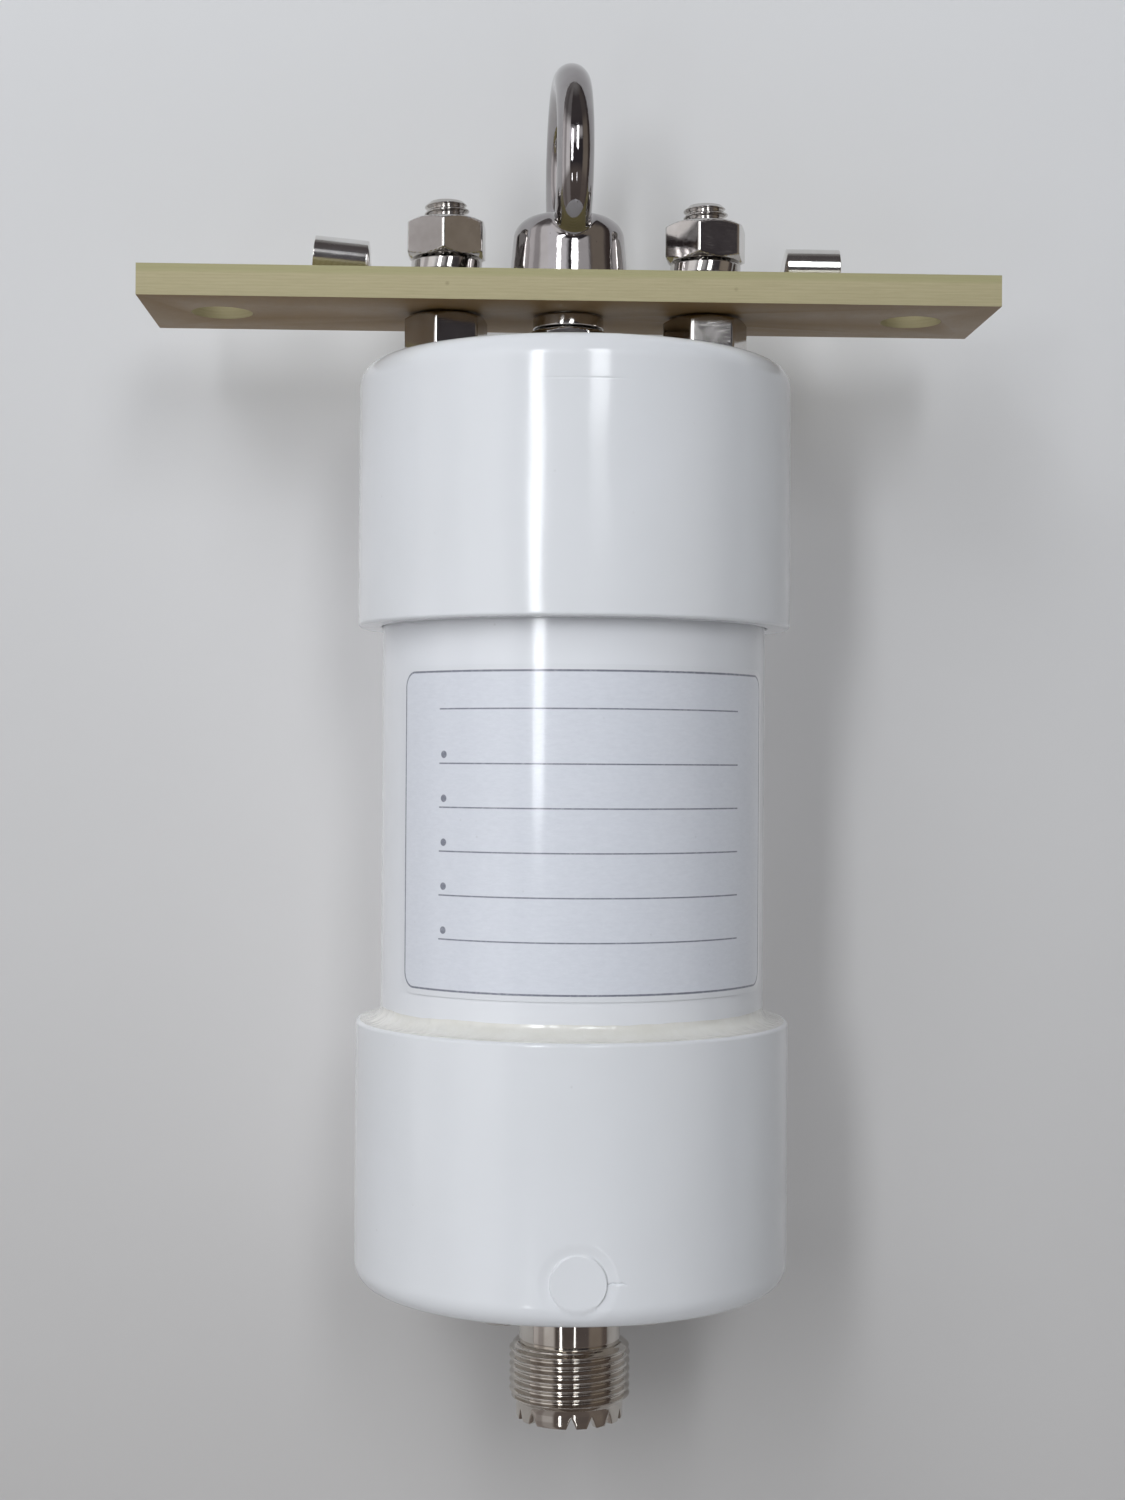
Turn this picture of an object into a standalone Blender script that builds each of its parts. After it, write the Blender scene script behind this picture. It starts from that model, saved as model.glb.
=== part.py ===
"""Hanging antenna balun, modelled in metres with +Z up.

A white plastic tube closed by two cemented end caps holds a wound ferrite ring. A glass-epoxy
cross bar stands on three bolts above the top cap: an eye nut in the middle hangs the whole part
and two terminals with ring lugs take the antenna wires. A coaxial socket points down out of the
bottom cap. The origin is the centre of the hanging ring, and every level below is worked out
downwards from it. Minus Y is the front, the side with the paper label.
"""

import math

import bmesh
import bpy
from mathutils import Matrix, Vector

# Fits between neighbouring pieces
SEAT = 0.0002
FIT = 0.0002

# Turn between facets below which a surface counts as flat
FLAT_ANGLE = math.radians(0.1)

# Numbers of facets round a turned piece
FACETS_LARGE = 40
FACETS = 32
FACETS_SMALL = 18
FACETS_TINY = 12

# Eye nut
RING_OUTER = 0.0260
RING_WIRE = 0.00475
RING_RISE = 0.0158
RING_TURN = math.radians(2.1)
EYE_BASE = 0.0151
EYE_HEIGHT = 0.0087
EYE_TOP = 0.0092
EYE_SHOULDER = 0.0026
EYE_TAPER = 0.0005
EYE_EDGE = 0.0003
EYE_BORE_DEPTH = 0.0066
EYE_ENGAGEMENT = 0.0056

# Cross bar, centred under the ring
BAR_LENGTH = 0.1100
BAR_WIDTH = 0.0220
BAR_THICKNESS = 0.0040
BAR_EDGE = 0.0003
ANCHOR_HOLE = 0.0080
ANCHOR_INSET = 0.00965

# Six-millimetre bolts, nuts and washers
BOLT = 0.0059
BOLT_TIP = 0.0006
BOLT_HEAD = 0.0040
HEX_FLATS = 0.0098
NUT_HEIGHT = 0.0050
NUT_SLACK = 0.0003
HEX_FACE_SHARE = 0.95
HEX_CHAMFER_ANGLE = math.radians(30.0)
WASHER_OUTER = 0.0120
WASHER_THICKNESS = 0.0012
SPRING_OUTER = 0.0093
SPRING_THICKNESS = 0.0016
SPRING_SPLIT = 0.0009
SPRING_SLANT = math.radians(20.0)
TERMINAL_SPACING = 0.0341
TERMINAL_TIP = 0.0026

# Direction of one corner of each nut, from the front towards +X, and of each spring washer's split
UPPER_NUT_TURNS = {"left": math.radians(-4.0), "right": math.radians(-14.0)}
LOWER_NUT_TURNS = {"left": math.radians(-14.0), "right": math.radians(-24.5)}
SPRING_TURNS = {"left": math.radians(-60.0), "right": math.radians(60.0)}
CENTRE_NUT_TURN = math.radians(28.0)
HEAD_TURN = math.radians(10.0)

# Ring lugs for the antenna wires
LUG_THICKNESS = 0.0010
LUG_PAD = 0.0120
LUG_NECK = 0.0070
LUG_NECK_END = 0.0091
LUG_BARREL_START = 0.0103
LUG_BORE_START = 0.0112
LUG_REACH = 0.0176
LUG_BARREL = 0.0052
LUG_BORE = 0.0034
LUG_SQUARENESS = 0.25
LUG_FACETS = 16
LUG_FLARE_STEPS = 4
LUG_BENDS = {"left": math.radians(5.5), "right": 0.0}

# Tube and end caps, all on one axis beside the ring's axis
TUBE_AXIS_X = 0.0010
TUBE_OUTER = 0.0500
TUBE_WALL = 0.0020
TUBE_CHAMFER = 0.0005
TUBE_SHOWING = 0.0510
CAP_WALL = 0.00305
CAP_LENGTH = 0.0343
CAP_END_WALL = 0.0032
CAP_EDGE = 0.0030
CAP_RIM_CHAMFER = 0.0004

# Cement squeezed out on the bottom cap's rim
CEMENT_HEIGHT = 0.0018
CEMENT_WALL = 0.0009
CEMENT_FILM = 0.00015
CEMENT_CREST = (0.6, 0.85)
CEMENT_BELLY = 0.4

# Paper label on the tube
LABEL_WIDTH = 0.0572
LABEL_HEIGHT = 0.0408
LABEL_CORNER = 0.0022
LABEL_THICKNESS = 0.00015
LABEL_BELOW_RIM = 0.0056
LABEL_TURN = math.radians(4.5)
LABEL_STRIPS = 18
LABEL_CORNER_STRIPS = 5

# Coaxial socket
FLANGE_SIDE = 0.0254
FLANGE_CORNER = 0.0015
FLANGE_THICKNESS = 0.0016
FLANGE_HOLES = 0.0183
SPIGOT_OUTER = 0.0120
SPIGOT_RISE = 0.0040
SPIGOT_WALL = 0.0008
NECK_OUTER = 0.01325
NECK_LENGTH = 0.0059
THREAD_OUTER = 0.0158
THREAD_LENGTH = 0.0075
THREAD_CHAMFER = 0.0009
CROWN_OUTER = 0.0140
CROWN_LENGTH = 0.0026
CROWN_BORE = 0.0117
CROWN_PLACES = 16
CROWN_BLANK = 15
NOTCH_WIDTH = 0.0013
NOTCH_DEPTH = 0.0015
INSULATOR_RECESS = 0.0019
INSULATOR_PROUD = 0.0006
CONTACT_OUTER = 0.0052
CONTACT_BORE = 0.0040
CONTACT_DEPTH = 0.0120
CONTACT_RECESS = 0.0005
CONTACT_SLOT = 0.0005
CONTACT_SLOT_DEPTH = 0.0060
CUP_OUTER = 0.0040
CUP_BORE = 0.0020
CUP_DEPTH = 0.0040
CUP_RISE = 0.0105

# Three-millimetre screws and nuts of the socket's flange
SCREW = 0.0029
SCREW_HEAD = 0.0055
SCREW_HEAD_HEIGHT = 0.0016
SCREW_PROUD = 0.0010
SCREW_HEAD_RIM = 0.4
SCREW_HEAD_CROWN = (0.85, 0.8)
SCREW_HEAD_FLAT = 0.55
SMALL_NUT_FLATS = 0.0055
SMALL_NUT_HEIGHT = 0.0024
SMALL_NUT_TURN = math.radians(12.0)
GROUND_SCREW = 3

# Soldering tags inside the housing
TAG_THICKNESS = 0.0008
TAG_WIDTH = 0.0040
TAG_PAD = 0.0110
TAG_REACH = 0.0080
TAG_DROP = 0.0095
TAG_WIRE_DROP = 0.0075
GROUND_TAG_PAD = 0.0064
GROUND_TAG_REACH = 0.0056
GROUND_TAG_RISE = 0.0090
GROUND_TAG_WIRE_RISE = 0.0070

# Ferrite ring and its two windings
CORE_OUTER = 0.0356
CORE_INNER = 0.0230
CORE_HEIGHT = 0.0127
CORE_EDGE = 0.0010
WIRE = 0.0015
WIRE_GAP = 0.0003
WIRE_HOLE_GAP = 0.00025
PRIMARY_TURNS = 5
PRIMARY_START = math.radians(60.0)
SECONDARY_TURNS = 7
SECONDARY_START = math.radians(110.0)
LEAD_STANDOFF = 0.0032
LEAD_ACROSS = 0.0046
WIRE_TAIL = 0.0012

# A lead's two middle points, as shares of its way across, sideways and up
LEAD_LOW = (0.12, 0.10, 0.30)
LEAD_HIGH = (0.62, 0.60, 0.62)

# A wire's bend behind its tag, along and up, in wire diameters
HOOK_BEND = ((-2.0, 0.0), (-3.5, 1.0), (-4.0, 3.0))

# A wire's straight foot in the solder cup, in cup depths above the cup's mouth
CUP_FOOT = (-0.75, 0.0, 0.5)

# Levels, from the hanging ring down to the socket's mouth
EYE_SEAT_Z = -RING_RISE
BAR_TOP_Z = EYE_SEAT_Z - SEAT
BAR_BOTTOM_Z = BAR_TOP_Z - BAR_THICKNESS
LOWER_NUT_TOP_Z = BAR_BOTTOM_Z - SEAT
LOWER_WASHER_TOP_Z = LOWER_NUT_TOP_Z - NUT_HEIGHT - SEAT
CAP_TOP_Z = LOWER_WASHER_TOP_Z - WASHER_THICKNESS - SEAT
CAP_CEILING_Z = CAP_TOP_Z - CAP_END_WALL
TOP_RIM_Z = CAP_TOP_Z - CAP_LENGTH
BOTTOM_RIM_Z = TOP_RIM_Z - TUBE_SHOWING
CAP_BOTTOM_Z = BOTTOM_RIM_Z - CAP_LENGTH
CAP_FLOOR_Z = CAP_BOTTOM_Z + CAP_END_WALL
TUBE_TOP_Z = CAP_CEILING_Z - SEAT
TUBE_BOTTOM_Z = CAP_FLOOR_Z + SEAT
FLANGE_TOP_Z = CAP_BOTTOM_Z - SEAT
FLANGE_BOTTOM_Z = FLANGE_TOP_Z - FLANGE_THICKNESS
THREAD_TOP_Z = FLANGE_BOTTOM_Z - NECK_LENGTH
CROWN_TOP_Z = THREAD_TOP_Z - THREAD_LENGTH
MOUTH_Z = CROWN_TOP_Z - CROWN_LENGTH
LUG_Z = BAR_TOP_Z + SEAT
UPPER_SPRING_Z = LUG_Z + LUG_THICKNESS + SEAT
UPPER_NUT_Z = UPPER_SPRING_Z + SPRING_THICKNESS + NUT_SLACK
TERMINAL_TIP_Z = UPPER_NUT_Z + NUT_HEIGHT + TERMINAL_TIP
TAG_TOP_Z = CAP_CEILING_Z - SEAT
TERMINAL_HEAD_Z = TAG_TOP_Z - TAG_THICKNESS - SEAT
CENTRE_HEAD_Z = CAP_CEILING_Z - SEAT
CENTRE_TIP_Z = EYE_SEAT_Z + EYE_ENGAGEMENT
CENTRE_SPRING_Z = BAR_BOTTOM_Z - SEAT - SPRING_THICKNESS
CENTRE_NUT_Z = CAP_TOP_Z + SEAT
CENTRE_NUT_HEIGHT = CENTRE_SPRING_Z - SEAT - CENTRE_NUT_Z
CORE_Z = 0.5 * (CAP_CEILING_Z + CAP_FLOOR_Z)

# Bores that clear the bolts, screws and wires
BOLT_HOLE = BOLT + 2.0 * FIT
SCREW_HOLE = SCREW + 2.0 * FIT
WIRE_HOLE = WIRE + 2.0 * WIRE_HOLE_GAP
TUBE_BORE = TUBE_OUTER - 2.0 * TUBE_WALL
REAR_BORE = SPIGOT_OUTER - 2.0 * SPIGOT_WALL
CAP_BORE = TUBE_OUTER + 2.0 * FIT
CAP_OUTER = CAP_BORE + 2.0 * CAP_WALL

# Places along the cross bar
ANCHORS = {
    "left": ANCHOR_INSET - 0.5 * BAR_LENGTH,
    "right": 0.5 * BAR_LENGTH - ANCHOR_INSET,
}
TERMINALS = {
    "left": TUBE_AXIS_X - 0.5 * TERMINAL_SPACING,
    "right": TUBE_AXIS_X + 0.5 * TERMINAL_SPACING,
}

# Finishes: colour, roughness and metallic value
WHITE_PLASTIC = ((0.80, 0.81, 0.82), 0.25, 0.0)
CLEAR_CEMENT = ((0.82, 0.82, 0.80), 0.12, 0.0)
PAPER = ((0.74, 0.75, 0.79), 0.55, 0.0)
GLASS_EPOXY = ((0.43, 0.37, 0.20), 0.35, 0.0)
POLISHED_STEEL = ((0.62, 0.61, 0.60), 0.12, 1.0)
PLATED_STEEL = ((0.55, 0.54, 0.53), 0.22, 1.0)
TINNED_COPPER = ((0.70, 0.69, 0.66), 0.28, 1.0)
NICKEL = ((0.60, 0.58, 0.55), 0.18, 1.0)
WHITE_INSULATOR = ((0.85, 0.84, 0.80), 0.45, 0.0)
FERRITE = ((0.05, 0.05, 0.055), 0.60, 0.0)
RED_ENAMEL = ((0.45, 0.10, 0.05), 0.30, 0.0)
GREEN_ENAMEL = ((0.10, 0.30, 0.12), 0.30, 0.0)


def clear_scene():
    """Remove whatever the scene holds."""
    for item in list(bpy.data.objects):
        bpy.data.objects.remove(item, do_unlink=True)


def new_collection(name):
    """A collection linked to the scene."""
    collection = bpy.data.collections.new(name)
    bpy.context.scene.collection.children.link(collection)
    return collection


clear_scene()
PARTS = new_collection("antenna_balun")
CUTTERS = new_collection("cutters")


def add_part(name, data, finish, place=(0.0, 0.0, 0.0), turn=0.0):
    """One named sub-part with a material of its own."""
    colour, roughness, metallic = finish
    material = bpy.data.materials.new(name + "_finish")
    material.use_nodes = True
    shader = material.node_tree.nodes["Principled BSDF"]
    shader.inputs["Base Color"].default_value = (*colour, 1.0)
    shader.inputs["Roughness"].default_value = roughness
    shader.inputs["Metallic"].default_value = metallic
    data.materials.clear()
    data.materials.append(material)
    part = bpy.data.objects.new(name, data)
    part.location = place
    part.rotation_euler = (0.0, 0.0, turn)
    PARTS.objects.link(part)
    return part


def add_helper(name, data, matrix=None):
    """A hidden solid that a Boolean modifier uses."""
    helper = bpy.data.objects.new(name, data)
    helper.hide_render = True
    helper.display_type = "WIRE"
    if matrix is not None:
        helper.matrix_world = matrix
    CUTTERS.objects.link(helper)
    return helper


def combine(target, helper, operation):
    """Cut, join or intersect the target with a helper solid."""
    step = target.modifiers.new(helper.name, "BOOLEAN")
    step.operation = operation
    step.solver = "EXACT"
    step.object = helper


def profile_mesh(name, profile, closed):
    """Edges through (radius, height) points in the XZ plane."""
    mesh = bpy.data.meshes.new(name)
    points = [(radius, 0.0, height) for radius, height in profile]
    edges = [(index, index + 1) for index in range(len(points) - 1)]
    if closed:
        edges.append((len(points) - 1, 0))
    mesh.from_pydata(points, edges, [])
    return mesh


def turn_profile(item, facets):
    """Spin the profile about Z with a Screw modifier."""
    step = item.modifiers.new("Turn", "SCREW")
    step.axis = "Z"
    step.steps = facets
    step.render_steps = facets
    step.use_merge_vertices = True
    step.merge_threshold = 0.00001
    step.use_smooth_shade = True
    return item


def add_turned(name, profile, finish, facets, place=(0.0, 0.0, 0.0), closed=True):
    """A turned sub-part. The profile's outer side runs from top to bottom."""
    return turn_profile(add_part(name, profile_mesh(name, profile, closed), finish, place), facets)


def arc(centre, radius, start, end, steps):
    """Points on an arc of the profile plane, from one angle to another in degrees."""
    points = []
    for index in range(steps + 1):
        angle = math.radians(start + (end - start) * index / steps)
        points.append((centre[0] + radius * math.cos(angle), centre[1] + radius * math.sin(angle)))
    return points


def cone_mesh(name, lower_radius, upper_radius, height, facets):
    """A capped cylinder or cone standing on its origin."""
    mesh = bpy.data.meshes.new(name)
    shape = bmesh.new()
    bmesh.ops.create_cone(shape, cap_ends=True, segments=facets, radius1=lower_radius,
                          radius2=upper_radius, depth=height)
    bmesh.ops.translate(shape, verts=shape.verts, vec=(0.0, 0.0, 0.5 * height))
    shape.to_mesh(mesh)
    shape.free()
    return mesh


def box_mesh(name, lowest, highest):
    """A box between two corners."""
    mesh = bpy.data.meshes.new(name)
    shape = bmesh.new()
    bmesh.ops.create_cube(shape, size=1.0)
    size = [high - low for low, high in zip(lowest, highest)]
    middle = [0.5 * (high + low) for low, high in zip(lowest, highest)]
    bmesh.ops.scale(shape, verts=shape.verts, vec=size)
    bmesh.ops.translate(shape, verts=shape.verts, vec=middle)
    shape.to_mesh(mesh)
    shape.free()
    return mesh


def prism_mesh(name, outline, sweep):
    """A flat outline swept along a straight line and closed at both ends."""
    shape = bmesh.new()
    shape.faces.new([shape.verts.new(point) for point in outline])
    swept = bmesh.ops.extrude_face_region(shape, geom=list(shape.faces))["geom"]
    far = [item for item in swept if isinstance(item, bmesh.types.BMVert)]
    bmesh.ops.translate(shape, verts=far, vec=sweep)
    bmesh.ops.recalc_face_normals(shape, faces=shape.faces)
    mesh = bpy.data.meshes.new(name)
    shape.to_mesh(mesh)
    shape.free()
    return mesh


def drill(target, name, diameter, foot, height, facets=FACETS_SMALL, tilt=None):
    """Cut a round hole that starts at foot and runs up by height, or along a tilted axis."""
    matrix = Matrix.Translation(foot)
    if tilt is not None:
        matrix = matrix @ tilt
    cutter = add_helper(name, cone_mesh(name, 0.5 * diameter, 0.5 * diameter, height, facets), matrix)
    combine(target, cutter, "DIFFERENCE")


def baked(item):
    """The mesh of an item after its modifiers, with the item and its helpers removed."""
    helpers = [step.object for step in item.modifiers if step.type == "BOOLEAN"]
    graph = bpy.context.evaluated_depsgraph_get()
    mesh = bpy.data.meshes.new_from_object(item.evaluated_get(graph))
    for spent in [item, *helpers]:
        bpy.data.objects.remove(spent, do_unlink=True)
    return mesh


def flatten(item):
    """Merge the coplanar faces that cuts leave behind."""
    step = item.modifiers.new("Flatten", "DECIMATE")
    step.decimate_type = "DISSOLVE"
    step.angle_limit = FLAT_ANGLE


def hex_chamfer(name, flats, height, upper_only):
    """The turned blank whose cones take the corners off a hexagon."""
    face = 0.5 * HEX_FACE_SHARE * flats
    corner = 1.05 * flats / math.sqrt(3.0)
    drop = (corner - face) * math.tan(HEX_CHAMFER_ANGLE)
    profile = [(0.0, height), (face, height), (corner, height - drop)]
    if upper_only:
        profile += [(corner, 0.0), (0.0, 0.0)]
    else:
        profile += [(corner, drop), (face, 0.0), (0.0, 0.0)]
    return turn_profile(add_helper(name, profile_mesh(name, profile, False)), FACETS_TINY)


def hexagon(name, flats, height):
    """A six-sided prism standing on its origin with a corner towards the front."""
    return cone_mesh(name, flats / math.sqrt(3.0), flats / math.sqrt(3.0), height, 6)


def nut_mesh(name, flats, height, bore, facets=FACETS_SMALL):
    """A hexagon nut chamfered at both ends."""
    blank = add_helper(name, hexagon(name, flats, height))
    combine(blank, hex_chamfer(name + "_chamfer", flats, height, False), "INTERSECT")
    drill(blank, name + "_bore", bore, (0.0, 0.0, -height), 3.0 * height, facets)
    flatten(blank)
    return baked(blank)


def bolt_mesh(name, length):
    """A hexagon bolt with its head below the origin and its shank above."""
    blank = add_helper(name, hexagon(name, HEX_FLATS, BOLT_HEAD))
    chamfer = hex_chamfer(name + "_chamfer", HEX_FLATS, BOLT_HEAD, True)
    combine(blank, chamfer, "INTERSECT")
    head = baked(blank)
    head.transform(Matrix.Rotation(math.pi, 4, "X"))
    radius = 0.5 * BOLT
    shank = [(0.0, length), (radius - BOLT_TIP, length), (radius, length - BOLT_TIP),
             (radius, -0.5 * BOLT_HEAD), (0.0, -0.5 * BOLT_HEAD)]
    bolt = add_helper(name, head)
    rod = turn_profile(add_helper(name + "_shank", profile_mesh(name, shank, False)), FACETS_SMALL)
    combine(bolt, rod, "UNION")
    return baked(bolt)


def ring_profile(outer, bore, thickness):
    """The section of a flat washer standing on its origin."""
    return [(0.5 * outer, thickness), (0.5 * outer, 0.0), (0.5 * bore, 0.0), (0.5 * bore, thickness)]


def spring_washer_mesh(name):
    """A flat split ring, its ends parted on a slant."""
    profile = ring_profile(SPRING_OUTER, BOLT_HOLE, SPRING_THICKNESS)
    ring = turn_profile(add_helper(name, profile_mesh(name, profile, True)), FACETS_SMALL)
    reach = SPRING_OUTER
    split = box_mesh(name + "_split", (0.0, -0.5 * SPRING_SPLIT, -reach), (reach, 0.5 * SPRING_SPLIT, reach))
    middle = Matrix.Translation((0.0, 0.0, 0.5 * SPRING_THICKNESS))
    tilt = middle @ Matrix.Rotation(SPRING_SLANT, 4, "X")
    combine(ring, add_helper(name + "_split", split, tilt), "DIFFERENCE")
    return baked(ring)


def make_eye_nut():
    """The base that screws onto the centre bolt, joined to its ring."""
    radius = 0.5 * EYE_BASE
    upper = radius - EYE_TAPER
    shoulder = arc((upper - EYE_SHOULDER, EYE_HEIGHT - EYE_SHOULDER), EYE_SHOULDER, 75.0, 0.0, 3)
    profile = [(0.0, EYE_HEIGHT), (0.5 * EYE_TOP, EYE_HEIGHT), *shoulder,
               (radius, EYE_EDGE), (radius - EYE_EDGE, 0.0), (0.0, 0.0)]
    eye = add_turned("eye_nut", profile, POLISHED_STEEL, FACETS, (0.0, 0.0, EYE_SEAT_Z), False)
    wire = 0.5 * RING_WIRE
    section = arc((0.5 * RING_OUTER - wire, 0.0), wire, 90.0, -240.0, 11)
    ring = add_helper("hanging_ring", profile_mesh("hanging_ring", section, True))
    ring.matrix_world = Matrix.Rotation(RING_TURN, 4, "Z") @ Matrix.Rotation(0.5 * math.pi, 4, "Y")
    turn_profile(ring, FACETS)
    combine(eye, ring, "UNION")
    drill(eye, "eye_bore", BOLT_HOLE, (0.0, 0.0, EYE_SEAT_Z - EYE_BORE_DEPTH), 2.0 * EYE_BORE_DEPTH)


def make_cross_bar():
    """The glass-epoxy bar with two anchor holes and three bolt holes."""
    half = (0.5 * BAR_LENGTH, 0.5 * BAR_WIDTH)
    mesh = box_mesh("cross_bar", (-half[0], -half[1], BAR_BOTTOM_Z), (half[0], half[1], BAR_TOP_Z))
    bar = add_part("cross_bar", mesh, GLASS_EPOXY)
    edge = bar.modifiers.new("Edges", "BEVEL")
    edge.width = BAR_EDGE
    edge.segments = 1
    foot = BAR_BOTTOM_Z - BAR_THICKNESS
    for side, x in TERMINALS.items():
        drill(bar, side + "_anchor_hole", ANCHOR_HOLE, (ANCHORS[side], 0.0, foot), 3.0 * BAR_THICKNESS,
              FACETS)
        drill(bar, side + "_stud_hole", BOLT_HOLE, (x, 0.0, foot), 3.0 * BAR_THICKNESS)
    drill(bar, "centre_stud_hole", BOLT_HOLE, (0.0, 0.0, foot), 3.0 * BAR_THICKNESS)
    flatten(bar)


def lug_section(blend):
    """Half-width, height and squareness of the lug between its flat neck and its round barrel."""
    ease = blend * blend * (3.0 - 2.0 * blend)
    width = 0.5 * (LUG_NECK + ease * (LUG_BARREL - LUG_NECK))
    height = LUG_THICKNESS + ease * (LUG_BARREL - LUG_THICKNESS)
    power = LUG_SQUARENESS + (1.0 - LUG_SQUARENESS) * ease
    return width, height, power


def lug_loft(name, bend):
    """Sections from the flat neck through the flare to the end of the barrel."""
    stations = [(0.5 * BOLT_HOLE, 0.0), (LUG_NECK_END, 0.0)]
    for index in range(1, LUG_FLARE_STEPS + 1):
        blend = index / LUG_FLARE_STEPS
        stations.append((LUG_NECK_END + blend * (LUG_BARREL_START - LUG_NECK_END), blend))
    stations.append((LUG_REACH, 1.0))
    lift = lug_lift(bend)
    shape = bmesh.new()
    rings = []
    for along, blend in stations:
        width, height, power = lug_section(blend)
        ring = []
        for index in range(LUG_FACETS):
            angle = 2.0 * math.pi * (index + 0.5) / LUG_FACETS
            across = math.copysign(abs(math.cos(angle)) ** power, math.cos(angle))
            upward = math.copysign(abs(math.sin(angle)) ** power, math.sin(angle))
            point = Vector((along, width * across, 0.5 * height * (1.0 + upward)))
            if along > LUG_NECK_END:
                point = lift @ point
            ring.append(shape.verts.new(point))
        rings.append(ring)
    for near, far in zip(rings[:-1], rings[1:]):
        for index in range(LUG_FACETS):
            after = (index + 1) % LUG_FACETS
            shape.faces.new((near[index], near[after], far[after], far[index]))
    shape.faces.new(rings[0][::-1])
    shape.faces.new(rings[-1])
    bmesh.ops.recalc_face_normals(shape, faces=shape.faces)
    mesh = bpy.data.meshes.new(name)
    shape.to_mesh(mesh)
    shape.free()
    return mesh


def lug_lift(bend):
    """The small rotation about the neck's end that bends a barrel upwards."""
    pivot = Vector((LUG_NECK_END, 0.0, 0.0))
    return Matrix.Translation(pivot) @ Matrix.Rotation(-bend, 4, "Y") @ Matrix.Translation(-pivot)


def make_wire_lug(side):
    """A ring lug on its stud, its barrel pointing outwards for the antenna wire."""
    bend = LUG_BENDS[side]
    blank = add_helper("lug_blank", lug_loft("lug_blank", bend))
    pad = cone_mesh("lug_pad", 0.5 * LUG_PAD, 0.5 * LUG_PAD, LUG_THICKNESS, FACETS_SMALL)
    combine(blank, add_helper("lug_pad", pad), "UNION")
    drill(blank, "lug_eye", BOLT_HOLE, (0.0, 0.0, -LUG_THICKNESS), 3.0 * LUG_THICKNESS)
    along_x = Matrix.Rotation(0.5 * math.pi, 4, "Y")
    mouth = lug_lift(bend) @ Matrix.Translation((LUG_BORE_START, 0.0, 0.5 * LUG_BARREL)) @ along_x
    cutter = cone_mesh("lug_mouth", 0.5 * LUG_BORE, 0.5 * LUG_BORE, LUG_REACH, FACETS_SMALL)
    combine(blank, add_helper("lug_mouth", cutter, mouth), "DIFFERENCE")
    turn = 0.0 if TERMINALS[side] > 0.0 else math.pi
    add_part("wire_lug_" + side, baked(blank), TINNED_COPPER, (TERMINALS[side], 0.0, LUG_Z), turn)


def make_terminals():
    """Two studs through cap and bar, each with its nuts, washers and lug."""
    nut = nut_mesh("m6_nut", HEX_FLATS, NUT_HEIGHT, BOLT_HOLE)
    stud = bolt_mesh("m6_stud", TERMINAL_TIP_Z - TERMINAL_HEAD_Z)
    spring = spring_washer_mesh("spring_ring")
    washer = ring_profile(WASHER_OUTER, BOLT_HOLE, WASHER_THICKNESS)
    for side, x in TERMINALS.items():
        add_part("terminal_bolt_" + side, stud.copy(), PLATED_STEEL, (x, 0.0, TERMINAL_HEAD_Z), HEAD_TURN)
        lower = (x, 0.0, LOWER_NUT_TOP_Z - NUT_HEIGHT)
        add_part("lower_nut_" + side, nut.copy(), PLATED_STEEL, lower, LOWER_NUT_TURNS[side])
        add_turned("flat_washer_" + side, washer, PLATED_STEEL, FACETS_SMALL,
                   (x, 0.0, LOWER_WASHER_TOP_Z - WASHER_THICKNESS))
        make_wire_lug(side)
        add_part("spring_washer_" + side, spring.copy(), PLATED_STEEL, (x, 0.0, UPPER_SPRING_Z),
                 SPRING_TURNS[side])
        add_part("upper_nut_" + side, nut.copy(), PLATED_STEEL, (x, 0.0, UPPER_NUT_Z), UPPER_NUT_TURNS[side])


def make_centre_fixing():
    """The bolt from the cap into the eye nut, with its nut and spring washer under the bar."""
    bolt = bolt_mesh("centre_bolt", CENTRE_TIP_Z - CENTRE_HEAD_Z)
    add_part("centre_bolt", bolt, PLATED_STEEL, (0.0, 0.0, CENTRE_HEAD_Z), HEAD_TURN)
    nut = nut_mesh("centre_nut", HEX_FLATS, CENTRE_NUT_HEIGHT, BOLT_HOLE)
    add_part("centre_nut", nut, PLATED_STEEL, (0.0, 0.0, CENTRE_NUT_Z), CENTRE_NUT_TURN)
    add_part("centre_spring_washer", spring_washer_mesh("centre_spring"), PLATED_STEEL,
             (0.0, 0.0, CENTRE_SPRING_Z), 0.5 * math.pi)


def make_tube():
    """The plain plastic tube between the two cap ends."""
    outer = 0.5 * TUBE_OUTER
    bore = 0.5 * TUBE_BORE
    profile = [(outer - TUBE_CHAMFER, TUBE_TOP_Z), (outer, TUBE_TOP_Z - TUBE_CHAMFER),
               (outer, TUBE_BOTTOM_Z + TUBE_CHAMFER), (outer - TUBE_CHAMFER, TUBE_BOTTOM_Z),
               (bore, TUBE_BOTTOM_Z), (bore, TUBE_TOP_Z)]
    add_turned("body_tube", profile, WHITE_PLASTIC, FACETS_LARGE, (TUBE_AXIS_X, 0.0, 0.0))


def cap_profile(hole):
    """An end cap's section round a middle hole, closed end at height zero and rim below it."""
    outer = 0.5 * CAP_OUTER
    bore = 0.5 * CAP_BORE
    edge = arc((outer - CAP_EDGE, -CAP_EDGE), CAP_EDGE, 90.0, 0.0, 4)
    return [(0.5 * hole, 0.0), *edge, (outer, -CAP_LENGTH + CAP_RIM_CHAMFER),
            (outer - CAP_RIM_CHAMFER, -CAP_LENGTH), (bore + CAP_RIM_CHAMFER, -CAP_LENGTH),
            (bore, -CAP_LENGTH + CAP_RIM_CHAMFER), (bore, -CAP_END_WALL), (0.5 * hole, -CAP_END_WALL)]


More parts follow.
